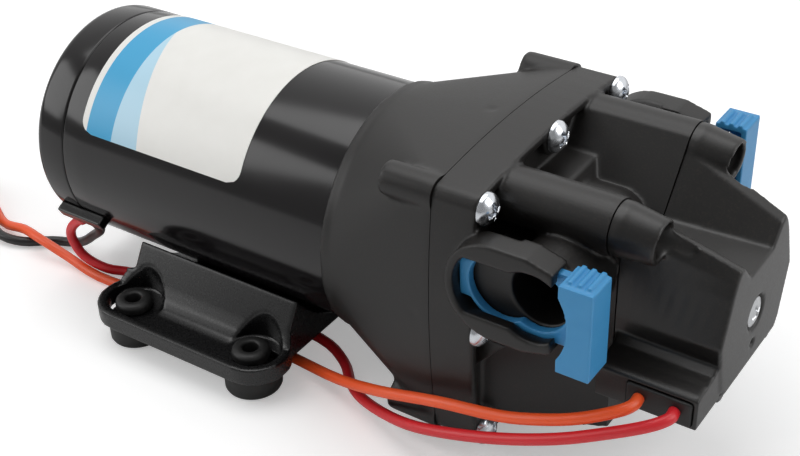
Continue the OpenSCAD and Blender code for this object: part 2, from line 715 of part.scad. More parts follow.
module pump_head() color("#1b1b1d") at_axis() difference() {
  union() {
    difference() {
      bulged_plate(housing_l, flange_t);
      bulged_plate(flange_floor, 10, rim_w);
    }
    screw_bosses();
    head_body();
    head_ridges();
    both_sides() {
      near_disc(12, frame_base + 1, port_x, port_boss_r);
      guide_frame();
      // Gusset under the port.
      near_prism(frame_base - gusset_in - gusset_t, frame_base - gusset_in, [
        [flange_floor - 1, gusset_top - gusset_h], [flange_floor - 1, gusset_top], [port_x, gusset_top]]);
    }
    // Step and rounded passage cover in the valley between the ridges.
    near_prism(-step_half, step_half, [[flange_floor - 1, 14], [step_x[1], 14], [step_x[1], step_z[0]],
      [step_x[0], step_z[1]], [flange_floor - 1, step_z[1]]]);
    translate([cover_x1, 0, cover_z]) xz(0) sphere(r = cover_r);
    translate([0, 0, cover_z]) yz(flange_floor) cylinder(h = cover_x1 - flange_floor, r = cover_r);
  }
  // Screw holes.
  for (place = screw_places) translate([0, place[0], place[1]]) {
    yz(screw_seat) cylinder(h = 12, r = screw_head_d / 2 + 0.5);
    yz(housing_l - 1) cylinder(h = flange_t + 2, r = screw_d / 2 + 0.3);
  }
  // Seat of the valve plate, the inlet ring and the outlet chamber.
  yz(housing_l - 1) cylinder(h = valve_t + 1, r = valve_r + seat_clear);
  yz(valve_x1 - 1) ring(inlet_plenum_t + 1, inlet_plenum_r[1], inlet_plenum_r[0]);
  yz(valve_x1 - 1) cylinder(h = outlet_plenum_x1 - valve_x1 + 1, r = outlet_plenum_r);
  // Passages from the ports: the near one leads to the inlet ring, the far one to the outlet chamber.
  translate([0, -21.5, 13]) yz(valve_x1) cylinder(h = port_x - valve_x1, r = 3.2);
  mirror([0, 1, 0]) translate([port_x - 1.5, 0, 10.6]) xz(-4) cylinder(h = 20, r = 2.4);
  both_sides() {
    near_disc(port_floor, frame_y, port_x, port_d / 2);
    clip_track();
    translate([0, ridge_y, ridge_z]) yz(head_end - 16) cylinder(h = 20, r = pilot_r);
  }
  // Pressure passage and the seat of the switch diaphragm.
  translate([0, 0, switch_z]) {
    yz(outlet_plenum_x1 - 2) cylinder(h = 20, r = 2.5);
    yz(head_end - 1.6) cylinder(h = 5, r = switch_r + 0.1);
    yz(head_end - 4) cylinder(h = 5, r = switch_r - 3);
  }
}
module screw(head_r, shank_r, head_h, l) {
  rotate_extrude() intersection() {
    translate([0, head_h - 1.3 * head_r]) circle(r = 1.3 * head_r);
    square([head_r, head_h]);
  }
  translate([0, 0, -l]) cylinder(h = l + fine, r = shank_r);
}
module head_screws() color("#d6d8dc") at_axis() for (place = screw_places)
  translate([0, place[0], place[1]]) yz(screw_seat)
    screw(screw_head_d / 2, screw_d / 2, screw_head_h, flange_t + pilot_l - 0.5);

// Port clips.
module clip_plate(y0, y1) {
  near_strip(y0, y1, tab_x0, lip_left, tab_half);
  near_disc(y0, y1, lip_left, plate_half);
  near_strip(y0, y1, lip_left, handle_x0 + 1, plate_half);
}
module near_side_clip() difference() {
  union() {
    clip_plate(port_face + clip_clear, track_y - clip_clear);
    // Handle with a waist and hollow back, and ribs at both ends.
    difference() {
      box([handle_x0, -handle_y[1], port_z - handle_h / 2],
        [handle_x0 + handle_w, -handle_y[0], port_z + handle_h / 2]);
      near_disc(handle_y[0] + waist_y, handle_y[1] + 1, handle_x0 + waist_depth - waist_r, waist_r);
      for (z = [-1, 1]) box(
        [handle_x0 + handle_wall, -handle_y[1] + handle_face,
          port_z + z * handle_h / 4 - handle_h / 4 + handle_rib],
        [handle_x0 + handle_w - handle_wall, -handle_y[0] + 1,
          port_z + z * handle_h / 4 + handle_h / 4 - handle_rib]);
    }
    for (z = [-1, 1], i = [-1 : 1]) translate([handle_x0 + handle_w / 2 + grip_rib_step * i, 0, 0]) box(
      [-grip_rib_w / 2, -handle_y[1] + grip_rib_in, port_z + z * handle_h / 2 - grip_rib_h],
      [grip_rib_w / 2, -handle_y[0], port_z + z * handle_h / 2 + grip_rib_h]);
  }
  near_disc(frame_base, frame_y, port_x, grip_r);
  near_disc(frame_base, frame_y, port_x - clip_travel, lobe_r);
}
module near_clip() color("#3f8cc4") at_axis() near_side_clip();
module far_clip() color("#3f8cc4") at_axis() mirror([0, 1, 0]) near_side_clip();

// Switch cap and what it holds.
module cap_slab(x, outline) yz(x) linear_extrude(0.6) polygon(outline);
// Half of the cap's section at its joint and at its front, from the bottom over the horn to the valley.
cap_rear = [[cap_half - 0.5, cap_low], [cap_half - 0.2, cap_low + 2.5], [cap_half, 5],
  [cap_half - 0.3, valley_z - 0.7], [ridge_y - 1.2, ridge_z - 3.5], [ridge_y - 2.8, ridge_z + 3.5],
  [ridge_y - 6.4, ridge_z + 2.2], [3.5, valley_z]];
cap_front = [[15.6, cap_low], [17.6, cap_low + 2.5], [21.4, 6.5], [17, valley_z - 1.2],
  [15.4, valley_z + 2], [13.5, valley_z + 4.2], [11, valley_z + 3.4], [6.6, valley_z - 1.2]];
// Half of the chin's section, with a hollow sweep up into the cap's side.
chin_side = concat([[chin[1][1], chin[0][2]], [chin[0][1], chin[0][2]]],
  [for (p = chin_sweep) [chin[0][1] + p[0], chin[1][2] + p[1]]],
  [[chin[1][1], chin[1][2] + chin_sweep[len(chin_sweep) - 1][1]]]);
rear_room = [[cap_half - cap_wall, cap_low + cap_wall], [cap_half - cap_wall, room_top]];
front_room = [[13, cap_low + cap_wall], [16.5, 5], [12.4, 14]];
module cap_loft(rear, front, x0, x1) hull() {
  cap_slab(x0, rear);
  cap_slab(x1 - 0.6, front);
}
// Solid between two outlines of as many points, at x0 and x1.
module ruled(rear, front, x0, x1, steps) {
  n = len(rear);
  points = [for (s = [0 : steps], i = [0 : n - 1])
    let (t = s / steps, p = rear[i] * (1 - t) + front[i] * t) [x0 + (x1 - x0) * t, p[0], p[1]]];
  wall = [for (s = [0 : steps - 1], i = [0 : n - 1])
    let (a = s * n + i, b = s * n + (i + 1) % n)
    each [[a, a + n, b], [b, a + n, b + n]]];
  ends = [[for (i = [0 : n - 1]) i], [for (i = [n - 1 : -1 : 0]) steps * n + i]];
  polyhedron(points = points, faces = concat(wall, ends), convexity = 6);
}
module switch_cap() color("#232325") at_axis() difference() {
  union() {
    ruled(mirrored(cap_rear), mirrored(cap_front), cap_x0, cap_end, 8);
    both_sides() {
      translate([0, ridge_y, ridge_z]) yz(cap_x0) cylinder(h = 2 * stub_foot, r = stub_r);
      translate([cap_x0 + stub_foot, ridge_y, ridge_z]) rotate([0, stub_dip, 0]) yz(0)
        cylinder(h = stub_end - cap_x0 - stub_foot, r1 = stub_r, r2 = stub_tip_r);
      translate([0, cap_foot_y, cap_low]) yz(cap_end - cap_foot_l - 1)
        cylinder(h = cap_foot_l, r = cap_foot_r);
    }
    yz(chin[0][0]) linear_extrude(chin[1][0] - chin[0][0]) polygon(chin_side);
  }
  // Room for the switch.
  cap_loft(mirrored(rear_room), mirrored(front_room), cap_x0 - 1, cap_end - cap_wall);
  box([chin[0][0] + cap_wall, chin[0][1] + grommet_in, chin[0][2] + cap_wall - 1],
    [chin[1][0] - cap_wall, chin[1][1], chin[1][2] - cap_wall + 1]);
  both_sides() translate([0, ridge_y, ridge_z]) {
    yz(cap_x0 - 1) cylinder(h = cap_screw_seat - cap_x0 + 2, r = screw_d / 2 + 0.3);
    yz(cap_screw_seat) cylinder(h = stub_end - cap_screw_seat + 1, r = cap_hole_r);
    translate([scoop_x, 0, 0]) rotate(scoop_turn) {
      yz(0) cylinder(h = scoop_l, r = scoop_r);
      translate([scoop_l, 0, 0]) sphere(r = scoop_r);
    }
  }
  box([grommet_x[0] - seat_clear, chin[0][1] - 1, grommet_z[0] - seat_clear],
    [grommet_x[1] + seat_clear, chin[0][1] + grommet_in + 1, grommet_z[1] + seat_clear]);
  translate([0, 0, switch_z]) {
    yz(cap_end - 1.4) cylinder(h = 3, r = 4.6);
    yz(cap_end - 6) cylinder(h = 8, r = 2 + run_clear);
  }
  translate([0, 0, switch_z - 9]) yz(cap_end - 2) cylinder(h = 4, r = 1.1);
}
module cap_gasket() color("#3a3a3b") at_axis() difference() {
  box([head_end, -cap_half + gasket_in, cap_low + gasket_in],
    [cap_x0, cap_half - gasket_in, room_top + gasket_in]);
  box([head_end - 1, -cap_half + cap_wall, cap_low + cap_wall],
    [cap_x0 + 1, cap_half - cap_wall, room_top - gasket_in]);
}
module cap_screws() color("#c9ccd0") at_axis() both_sides()
  translate([0, ridge_y, ridge_z]) yz(cap_screw_seat)
  screw(cap_head_r, screw_d / 2, cap_head_h, cap_screw_seat - head_end + cap_bite);
module switch_diaphragm() color("#2a2a2b") at_axis() translate([0, 0, switch_z])
  yz(head_end - 1.6) cylinder(h = 1.6, r = switch_r);
module switch_plunger() color("#d9d6cc") at_axis() translate([0, 0, switch_z]) {
  yz(plunger_x0) cylinder(h = plunger_flange_x - plunger_x0 + fine, r = plunger_r);
  yz(plunger_flange_x) cylinder(h = plunger_flange_t, r = plunger_flange_r);
  yz(plunger_flange_x) cylinder(h = plunger_nose_l, r = plunger_nose_r);
  box([plunger_flange_x, 0, plunger_arm[1]],
    [plunger_flange_x + plunger_flange_t, plunger_arm[0], plunger_arm[2]]);
}
spring_x0 = plunger_flange_x + plunger_flange_t + spring_wire;
module pressure_spring() color("#b9bcc0") at_axis() translate([0, 0, switch_z])
  tube(helix(spring_x0, seat_x0 - spring_x0 - spring_wire, spring_r, spring_turns), spring_wire / 2, 6);
module spring_seat() color("#8a8c90") at_axis() translate([0, 0, switch_z]) difference() {
  union() {
    yz(seat_x0) cylinder(h = seat_l, r = 7);
    box([seat_x0, -1.6, -8.4], [seat_x0 + seat_l, 1.6, -6]);
  }
  yz(seat_x0 - 1) cylinder(h = 9, r = 2 + run_clear);
}
module adjusting_screw() color("#cfc4bd") at_axis() translate([0, 0, switch_z]) difference() {
  union() {
    yz(seat_x0 - 2) cylinder(h = cap_end - seat_x0 + 1, r = 2);
    yz(cap_end - 1.3) cylinder(h = 1.6, r = 3.9);
  }
  box([cap_end - 0.6, -0.6, -2.6], [cap_end + 1, 0.6, 2.6]);
  box([cap_end - 0.6, -2.6, -0.6], [cap_end + 1, 2.6, 0.6]);
}
module microswitch() color("#2e2f31") at_axis() difference() {
  box(micro[0], micro[1]);
  box([micro[0][0] - 1, 11, switch_z - 0.5], [micro[0][0] + 3.2, 13, switch_z + 2.5]);
}
module switch_button() color("#c23b32") at_axis()
  box([button_x0, 11.2, switch_z - 0.3], [micro[0][0] + 1.8, 12.8, switch_z + 2.3]);
module lead_grommet() color("#191919") at_axis() difference() {
  box([grommet_x[0], chin[0][1] - grommet_out, grommet_z[0]],
    [grommet_x[1], chin[0][1] + grommet_in, grommet_z[1]]);
  for (x = [orange_x, red_x]) translate([x, 0, lead_z]) xz(chin[0][1])
    translate([0, 0, -grommet_in - 1]) cylinder(h = grommet_in + 0.6, r = lead_r);
}

// Leads.
module orange_lead() color("#f0562a") at_axis() tube(smooth(orange_route), lead_r, 8);
module red_lead() color("#c8232c") at_axis() tube(smooth(red_route), lead_r, 8);
module black_lead() color("#1c1a1a") at_axis() tube(smooth(black_route), lead_r, 8);
module orange_coil() color("#f0562a") at_axis() tube(orange_turns, lead_r, 6);
module black_coil() color("#1c1a1a") at_axis() tube(black_turns, lead_r, 6);
echo("orange coil gap", least_gap(orange_turns, lead_r));
echo("black coil gap", least_gap(black_turns, lead_r));
module lead_tips() color("#c98b5a") at_axis() for (p = [orange_turns, black_turns]) {
  n = len(p) - 1;
  translate(p[n]) rotate([0, 90, atan2(tangent(p, n)[1], tangent(p, n)[0])]) cylinder(h = tip_l, r = tip_r);
}
module coil_tie() color("#e8e8e6") at_axis()
  translate([coil_centre[0], coil_centre[1], floor_z]) rotate([0, 0, 200]) difference() {
  box([tie_in - tie_t, -tie_w / 2, 0], [tie_out + tie_t, tie_w / 2, tie_h]);
  box([tie_in, -tie_w, tie_t], [tie_out, tie_w, tie_h - tie_t]);
}

motor_can();
rear_cap();
front_plate();
field_magnets();
rear_bush();
front_bearing();
brush_holder();
brushes();
brush_springs();
wire_block();
label();
base_bracket();
bracket_screws();
foot(-1, -1);  // foot_rear_near
foot(-1, 1);  // foot_rear_far
foot(1, -1);  // foot_front_near
foot(1, 1);  // foot_front_far
motor_shaft();
armature_core();
armature_winding();
commutator();
drive_cam();
wobble_plate();
wobble_bearing();
pistons();
drive_housing();
diaphragm();
valve_plate();
inlet_valves();
outlet_valves();
head_seal();
pump_head();
head_screws();
near_clip();
far_clip();
switch_cap();
cap_gasket();
cap_screws();
switch_diaphragm();
switch_plunger();
pressure_spring();
spring_seat();
adjusting_screw();
microswitch();
switch_button();
lead_grommet();
orange_lead();
red_lead();
black_lead();
orange_coil();
black_coil();
lead_tips();
coil_tie();
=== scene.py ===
# %% [markdown]
# A caravan water pump in Blender
#
# The pump is a black motor on a bracket with rubber feet. A moulded housing and head stand in
# front of it, with two blue clips and three leads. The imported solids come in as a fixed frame, in
# metres: +X runs along the motor towards the head, +Y away from us, +Z up. Each step below gives
# one part of the pump its real surface, and rides it on the solid's body.

# %% The frame
import bpy
import bmesh
import json
from math import cos, pi, radians, sin, sqrt
from mathutils import Matrix, Vector

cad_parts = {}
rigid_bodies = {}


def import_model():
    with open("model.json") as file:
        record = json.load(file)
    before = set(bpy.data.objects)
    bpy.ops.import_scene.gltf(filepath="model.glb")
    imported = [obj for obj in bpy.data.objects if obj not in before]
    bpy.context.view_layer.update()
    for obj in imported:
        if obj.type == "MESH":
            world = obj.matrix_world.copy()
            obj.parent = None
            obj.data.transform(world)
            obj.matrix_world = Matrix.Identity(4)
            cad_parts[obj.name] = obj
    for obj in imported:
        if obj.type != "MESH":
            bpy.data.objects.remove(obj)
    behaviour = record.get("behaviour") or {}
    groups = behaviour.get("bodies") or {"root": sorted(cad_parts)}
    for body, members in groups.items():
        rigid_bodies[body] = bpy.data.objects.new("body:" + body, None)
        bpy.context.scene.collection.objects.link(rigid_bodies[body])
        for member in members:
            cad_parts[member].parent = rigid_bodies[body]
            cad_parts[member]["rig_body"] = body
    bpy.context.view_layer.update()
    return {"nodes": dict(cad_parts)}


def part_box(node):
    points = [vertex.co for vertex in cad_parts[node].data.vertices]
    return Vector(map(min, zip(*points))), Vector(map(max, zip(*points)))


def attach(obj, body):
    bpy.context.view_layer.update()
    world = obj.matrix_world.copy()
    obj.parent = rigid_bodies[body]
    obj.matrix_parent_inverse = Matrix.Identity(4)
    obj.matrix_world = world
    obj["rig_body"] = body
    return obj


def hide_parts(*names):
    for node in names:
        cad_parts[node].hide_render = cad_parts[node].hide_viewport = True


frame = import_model()
MM = 0.001
AXIS = Vector((42.4, 0, 42.8)) * MM
scene = bpy.context.scene

# %% [markdown]
# The camera comes first, because it decides what shows. Its place was fitted to the ends of the
# motor, the feet and the ring of screws in the picture. It looks down on the near side from the
# pump's front, and leans over by two degrees.

# %% The camera
def looking(place, ahead, lean):
    """The matrix of a camera at place that looks along ahead and leans by an angle in degrees."""
    ahead = Vector(ahead).normalized()
    right = ahead.cross(Vector((0, 0, 1))).normalized()
    up = right.cross(ahead)
    turn = radians(lean)
    leaned_right = cos(turn) * right + sin(turn) * up
    leaned_up = cos(turn) * up - sin(turn) * right
    matrix = Matrix((leaned_right, leaned_up, -ahead)).transposed().to_4x4()
    matrix.translation = Vector(place)
    return matrix


CAMERA_AT = (0.2282, -0.2634, 0.2482)
CAMERA_AHEAD = (-0.4785, 0.6832, -0.5513)
CAMERA_LEAN = -2.01
camera_data = bpy.data.cameras.new("camera")
camera_data.sensor_width = 36
camera_data.lens = 63.11
camera_data.clip_start = 0.01
camera = bpy.data.objects.new("camera", camera_data)
scene.collection.objects.link(camera)
camera.matrix_world = looking(CAMERA_AT, CAMERA_AHEAD, CAMERA_LEAN)
scene.camera = camera
print("camera", [round(c, 3) for c in camera.location], "lens", camera_data.lens)

# %% [markdown]
# The leads are stranded wire, 3 mm over the insulation. A lead could be a swept mesh, but a curve
# with a round bevel keeps its own centre line, so its length can be measured. Each route below is
# a list of points in millimetres from the motor's front joint, and a smooth curve passes through
# all of them. The bevel's depth is one, and each point's radius scales it: that way the curve's
# box in Blender is as wide as the lead, and no wider.

# %% Helpers for the leads
LEAD_R = 1.5 * MM


def from_axis(points):
    """Points in millimetres from the motor's front joint, as places in metres."""
    return [AXIS + Vector(p) * MM for p in points]


def passing_through(points, between):
    """A smooth curve through the points, with some more points between each two."""
    ends = [2 * points[0] - points[1]] + points + [2 * points[-1] - points[-2]]
    made = []
    for a, b, c, d in zip(ends, ends[1:], ends[2:], ends[3:]):
        for step in range(between):
            t = step / between
            square = (2 * a - 5 * b + 4 * c - d) * t**2
            cube = (3 * b - a - 3 * c + d) * t**3
            made.append((2 * b + (c - a) * t + square + cube) / 2)
    return made + [points[-1]]


def lead_curve(name, points, radius):
    """A round curve along the points."""
    data = bpy.data.curves.new(name, "CURVE")
    data.dimensions = "3D"
    data.bevel_depth = 1
    data.bevel_resolution = 5
    data.use_fill_caps = True
    spline = data.splines.new("POLY")
    spline.points.add(len(points) - 1)
    for spot, place in zip(spline.points, points):
        spot.co = (*place, 1)
        spot.radius = radius
    spline.use_smooth = True
    piece = bpy.data.objects.new(name, data)
    scene.collection.objects.link(piece)
    return piece


def length_of(points):
    return sum((b - a).length for a, b in zip(points, points[1:]))


# %% [markdown]
# The spare length of the orange and of the black lead is wound into a small flat coil each, one
# on the other, behind the motor and outside the picture. The turns lie a little more than a
# lead's width apart and wind inwards, and the last quarter turn tucks in, so that the end stands
# free.

# %% The coils
COIL_CENTRE = (-170, -30)
COIL_TURNS = 2
COIL_R = 18.6
COIL_PITCH = 3.6
COIL_TUCK = 4
COIL_END = 3
STEPS_IN_TURN = 36


def winding(start, height):
    """The turns of a coil, in millimetres from the motor's front joint, then a short straight end."""
    turns = []
    for step in range(COIL_TURNS * STEPS_IN_TURN + 1):
        wound = step / STEPS_IN_TURN
        tuck = COIL_TUCK * max(0, 1 - 4 * (COIL_TURNS - wound)) ** 2
        reach = COIL_R - COIL_PITCH * wound - tuck
        angle = radians(start) + 2 * pi * wound
        turns.append((COIL_CENTRE[0] + reach * cos(angle), COIL_CENTRE[1] + reach * sin(angle), height))
    end = Vector(turns[-1])
    return turns + [tuple(end + (end - Vector(turns[-2])).normalized() * COIL_END)]


orange_coil = from_axis(winding(90, -40.4))
black_coil = from_axis(winding(60, -36.8))
print("coil lengths in mm:", round(length_of(orange_coil) / MM), round(length_of(black_coil) / MM))

# %% [markdown]
# The orange and the red lead leave the switch cap side by side, hang down and run back along the
# near side. The red one goes up into the wire block on the motor, and the black one comes out of
# it. Where the picture does not show them, they lie on the floor and cross over one another.

# %% The three routes
MORE_POINTS = 4
orange_route = from_axis([
    (88.5, -31.6, -6), (88.5, -34.6, -6), (86, -37.6, -6.8), (78, -40.4, -10.5), (69, -42, -13.8),
    (58, -42.6, -17.3), (40.5, -42.4, -21), (21, -40, -28), (3.5, -34.4, -35.6), (-14, -29.4, -40),
    (-32, -27, -41.2), (-52, -26.4, -41.2), (-72, -27, -41.2), (-92, -28.2, -41.2), (-106, -26.6, -40.2),
    (-118, -26.5, -37.6), (-128, -24.3, -38.4), (-140, -22.6, -40.8), (-154, -15.4, -40.4),
    (-167, -11.4, -40.4), (-170, -11.4, -40.4),
])
red_route = from_axis([
    (97.4, -31.6, -6), (97.4, -34.6, -6), (94, -38, -7.2), (86, -40.6, -11), (74, -43.4, -16.4),
    (59, -45, -22.2), (42, -45, -28), (28.5, -42, -33.2), (14, -36, -38), (4, -29.4, -41), (-4, -22, -41.2),
    (-16, -17, -41.2), (-40, -16.4, -41.2), (-64, -18, -41.2), (-84, -21, -41.2), (-92, -24.6, -40.2),
    (-99.5, -26, -37.6), (-103, -26.4, -32.6), (-102.4, -26.8, -28), (-97.6, -27.6, -23),
    (-94.4, -28.3, -21.15), (-94.4, -29.5, -19.1),
])
black_route = from_axis([
    (-88, -29.5, -19.1), (-88, -28.3, -21.15), (-90.5, -26, -25), (-97, -23, -30.5), (-105, -20.6, -37),
    (-112, -19.4, -40.6), (-119, -21.6, -41.2), (-127, -27, -41.2), (-136, -28.4, -40.4), (-146, -24, -38),
    (-158.1, -15.4, -36.8), (-160.7, -13.9, -36.8),
])
orange_line = passing_through(orange_route, MORE_POINTS) + orange_coil[1:]
red_line = passing_through(red_route, MORE_POINTS)
black_line = passing_through(black_route, MORE_POINTS) + black_coil[1:]
orange_lead = lead_curve("orange_wire", orange_line, LEAD_R)
red_lead = lead_curve("red_wire", red_line, LEAD_R)
black_lead = lead_curve("black_wire", black_line, LEAD_R)
print("leads in mm:", [round(length_of(line) / MM) for line in (orange_line, red_line, black_line)])

# %% [markdown]
# A bared end shows the strands of the wire. Seven thin strands lie in a slow twist, six around
# one.

# %% The bared ends
TIP_L, TIP_R = 6 * MM, 0.9 * MM
TIP_STEPS = 8
TWIST = 0.16


def mesh_piece(name, mesh, body, *nodes):
    """A piece that rides on a body and stands for some nodes."""
    piece = bpy.data.objects.new(name, mesh)
    scene.collection.objects.link(piece)
    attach(piece, body)
    if nodes:
        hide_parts(*nodes)
    return piece


def rings_to_mesh(name, strips, closed_ends=True):
    """A mesh from strips of rings.

    Each ring is a closed loop of places, and neighbours in a strip are joined.
    """
    bm = bmesh.new()
    for rings in strips:
        loops = [[bm.verts.new(place) for place in ring] for ring in rings]
        around = len(loops[0])
        for low, high in zip(loops, loops[1:]):
            for i in range(around):
                j = (i + 1) % around
                bm.faces.new((low[i], low[j], high[j], high[i]))
        if closed_ends:
            bm.faces.new(list(reversed(loops[0])))
            bm.faces.new(loops[-1])
    bmesh.ops.recalc_face_normals(bm, faces=bm.faces[:])
    mesh = bpy.data.meshes.new(name)
    bm.to_mesh(mesh)
    bm.free()
    mesh.shade_smooth()
    return mesh


def strands(start, ahead, length, reach):
    """Rings of seven twisted strands from start along ahead."""
    ahead = ahead.normalized()
    side = ahead.cross(Vector((0, 0, 1))).normalized()
    up = side.cross(ahead)
    thin = reach / 3
    strips = []
    for strand in range(7):
        rings = []
        for step in range(TIP_STEPS + 1):
            out = 0 if strand == 6 else reach - thin
            turn = strand * pi / 3 + step * TWIST
            middle = start + ahead * length * step / TIP_STEPS + out * (cos(turn) * side + sin(turn) * up)
            ring = [middle + thin * (cos(k * pi / 4) * side + sin(k * pi / 4) * up) for k in range(8)]
            rings.append(ring)
        strips.append(rings)
    return strips


tip_strips = []
for line in (orange_line, black_line):
    tip_strips += strands(line[-1], line[-1] - line[-2], TIP_L, TIP_R)
tip_mesh = rings_to_mesh("bared_strands", tip_strips)
lead_tips = mesh_piece("bared_strands", tip_mesh, "pump_body", "lead_tips")
print("strands:", len(tip_strips))

# %% [markdown]
# Each lead then rides on the pump's body, and the solids that it stands for are hidden. The two coiled
# leads end in bare strands, and the red one goes back into the pump.

# %% Hanging the leads on the pump
for lead, line, nodes, tips in (
    (orange_lead, orange_line, ("orange_lead", "orange_coil"), [lead_tips, "coil_tie"]),
    (red_lead, red_line, ("red_lead",), []),
    (black_lead, black_line, ("black_lead", "black_coil"), []),
):
    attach(lead, "pump_body")
    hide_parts(*nodes)

# %% [markdown]
# Moulded pieces have no sharp edges: each edge is rounded a little by the mould. The solids have
# sharp ones. A bevel would trip over the many small faces where curves meet, so a copy of the
# solid is rebuilt on a fine grid, smoothed a few times, and thinned out where it is flat. That
# rounds every edge by about the grid's size, as a mould does.
#
# Where two mouldings are bolted face to face, the edge of the joint stays sharp, and the joint
# shows as a hairline. So the joint face of the copy is first pushed out a little, and after the
# smoothing the copy is cut off flat at the joint.

# %% Helpers for moulded pieces
JOINT_NEAR = 0.02 * MM
JOINT_PUSH = 1.5 * MM


def settled(piece):
    """Applies the piece's modifiers to its mesh."""
    graph = bpy.context.evaluated_depsgraph_get()
    made = bpy.data.meshes.new_from_object(piece.evaluated_get(graph))
    piece.modifiers.clear()
    old = piece.data
    piece.data = made
    bpy.data.meshes.remove(old)


def body_of_node(node):
    return frame["nodes"][node]["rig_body"]


def joint_pushed_out(bm, joint):
    """Moves the face at a joint outwards.

    A joint is (face, outwards, cut): two places along the motor in millimetres, and a direction.
    """
    face, outwards, _ = joint
    for vert in bm.verts:
        if abs(vert.co.x - AXIS.x - face * MM) < JOINT_NEAR:
            vert.co.x += outwards * JOINT_PUSH


def joint_cut_flat(bm, joint):
    """Cuts the piece off at a joint and closes it with a flat face."""
    _, outwards, cut = joint
    place = AXIS + Vector((cut * MM, 0, 0))
    away = Vector((outwards, 0, 0))
    everything = bm.verts[:] + bm.edges[:] + bm.faces[:]
    made = bmesh.ops.bisect_plane(bm, geom=everything, plane_co=place, plane_no=away, clear_outer=True)
    edges = [part for part in made["geom_cut"] if isinstance(part, bmesh.types.BMEdge)]
    for edge in edges:
        edge.smooth = False
    bmesh.ops.triangle_fill(bm, edges=edges, normal=away, use_beauty=True)


# %% Rounding a moulded piece
def moulded(node, grid_mm, rounds, keep, joints=()):
    """A copy of a solid with rounded edges and flat joints, which stands for it."""
    mesh = frame["nodes"][node].data.copy()
    mesh.name = node + "_moulded"
    mesh.materials.clear()
    bm = bmesh.new()
    bm.from_mesh(mesh)
    bmesh.ops.remove_doubles(bm, verts=bm.verts[:], dist=0.002 * MM)
    for joint in joints:
        joint_pushed_out(bm, joint)
    bm.to_mesh(mesh)
    bm.free()
    piece = bpy.data.objects.new(node + "_moulded", mesh)
    scene.collection.objects.link(piece)
    remesh = piece.modifiers.new("grid", "REMESH")
    remesh.mode = "VOXEL"
    remesh.voxel_size = grid_mm * MM
    smoothing = piece.modifiers.new("rounding", "SMOOTH")
    smoothing.factor = 0.5
    smoothing.iterations = rounds
    thinning = piece.modifiers.new("thinning", "DECIMATE")
    thinning.ratio = keep
    bpy.context.view_layer.update()
    settled(piece)
    piece.data.shade_smooth()
    if joints:
        bm = bmesh.new()
        bm.from_mesh(piece.data)
        for joint in joints:
            joint_cut_flat(bm, joint)
        bm.to_mesh(piece.data)
        bm.free()
    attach(piece, body_of_node(node))
    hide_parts(node)
    print(piece.name, "faces:", len(piece.data.polygons))
    return piece


# %% The moulded pieces
# The housing and the head meet 36 mm in front of the motor, and the head and the switch cap 76 mm.
# Each line gives the grid in millimetres, the rounds of smoothing, and the share of faces to keep.
housing = moulded("drive_housing", 0.7, 10, 0.3, [(36, 1, 35.9)])
head = moulded("pump_head", 0.5, 4, 0.25, [(36, -1, 36.1), (76, 1, 76)])
cap = moulded("switch_cap", 0.5, 4, 0.3, [(76.5, -1, 76.25)])
bracket = moulded("base_bracket", 0.5, 7, 0.25)
near_clip = moulded("near_clip", 0.3, 3, 0.3)
far_clip = moulded("far_clip", 0.3, 3, 0.3)
wire_block = moulded("wire_block", 0.3, 3, 0.3)
grommet = moulded("lead_grommet", 0.35, 3, 0.4)
coil_tie = moulded("coil_tie", 0.2, 2, 0.4)

# %% [markdown]
# The can is drawn steel, and the rear cap closes it. Both are round, so a profile is spun around
# the axis. The edges that meet have a small roll each, so the seam between the two shows as a
# fine groove. A shallow ring on the cap's back catches the light.

# %% Turned pieces
CAN_AROUND = 160


def circle(count):
    """Cosine and sine of so many even turns around a circle."""
    turns = [2 * pi * k / count for k in range(count)]
    return [(cos(turn), sin(turn)) for turn in turns]


def spun(profile):
    """Rings of a profile of (along, out) places in millimetres, spun around the motor's axis."""
    rings = []
    for along, out in profile:
        ring = [AXIS + Vector((along, out * c, out * s)) * MM for c, s in circle(CAN_AROUND)]
        rings.append(ring)
    return rings


def rounded(corner, before, after, radius, steps=5):
    """Points of an arc that rounds the corner between two straight runs at a right angle."""
    corner, before, after = Vector(corner), Vector(before), Vector(after)
    back = (before - corner).normalized() * radius
    on = (after - corner).normalized() * radius
    middle = corner + back + on
    turns = [pi / 2 * step / steps for step in range(steps + 1)]
    return [tuple(middle - on * cos(turn) - back * sin(turn)) for turn in turns]


def turned(name, profile, node):
    """A closed profile spun around the axis."""
    rings = spun(profile + [profile[0]])
    mesh = rings_to_mesh(name, [rings], closed_ends=False)
    bm = bmesh.new()
    bm.from_mesh(mesh)
    bmesh.ops.remove_doubles(bm, verts=bm.verts[:], dist=0.001 * MM)
    bmesh.ops.recalc_face_normals(bm, faces=bm.faces[:])
    bm.to_mesh(mesh)
    bm.free()
    mesh.set_sharp_from_angle(angle=radians(35))
    return mesh_piece(name, mesh, body_of_node(node), node)


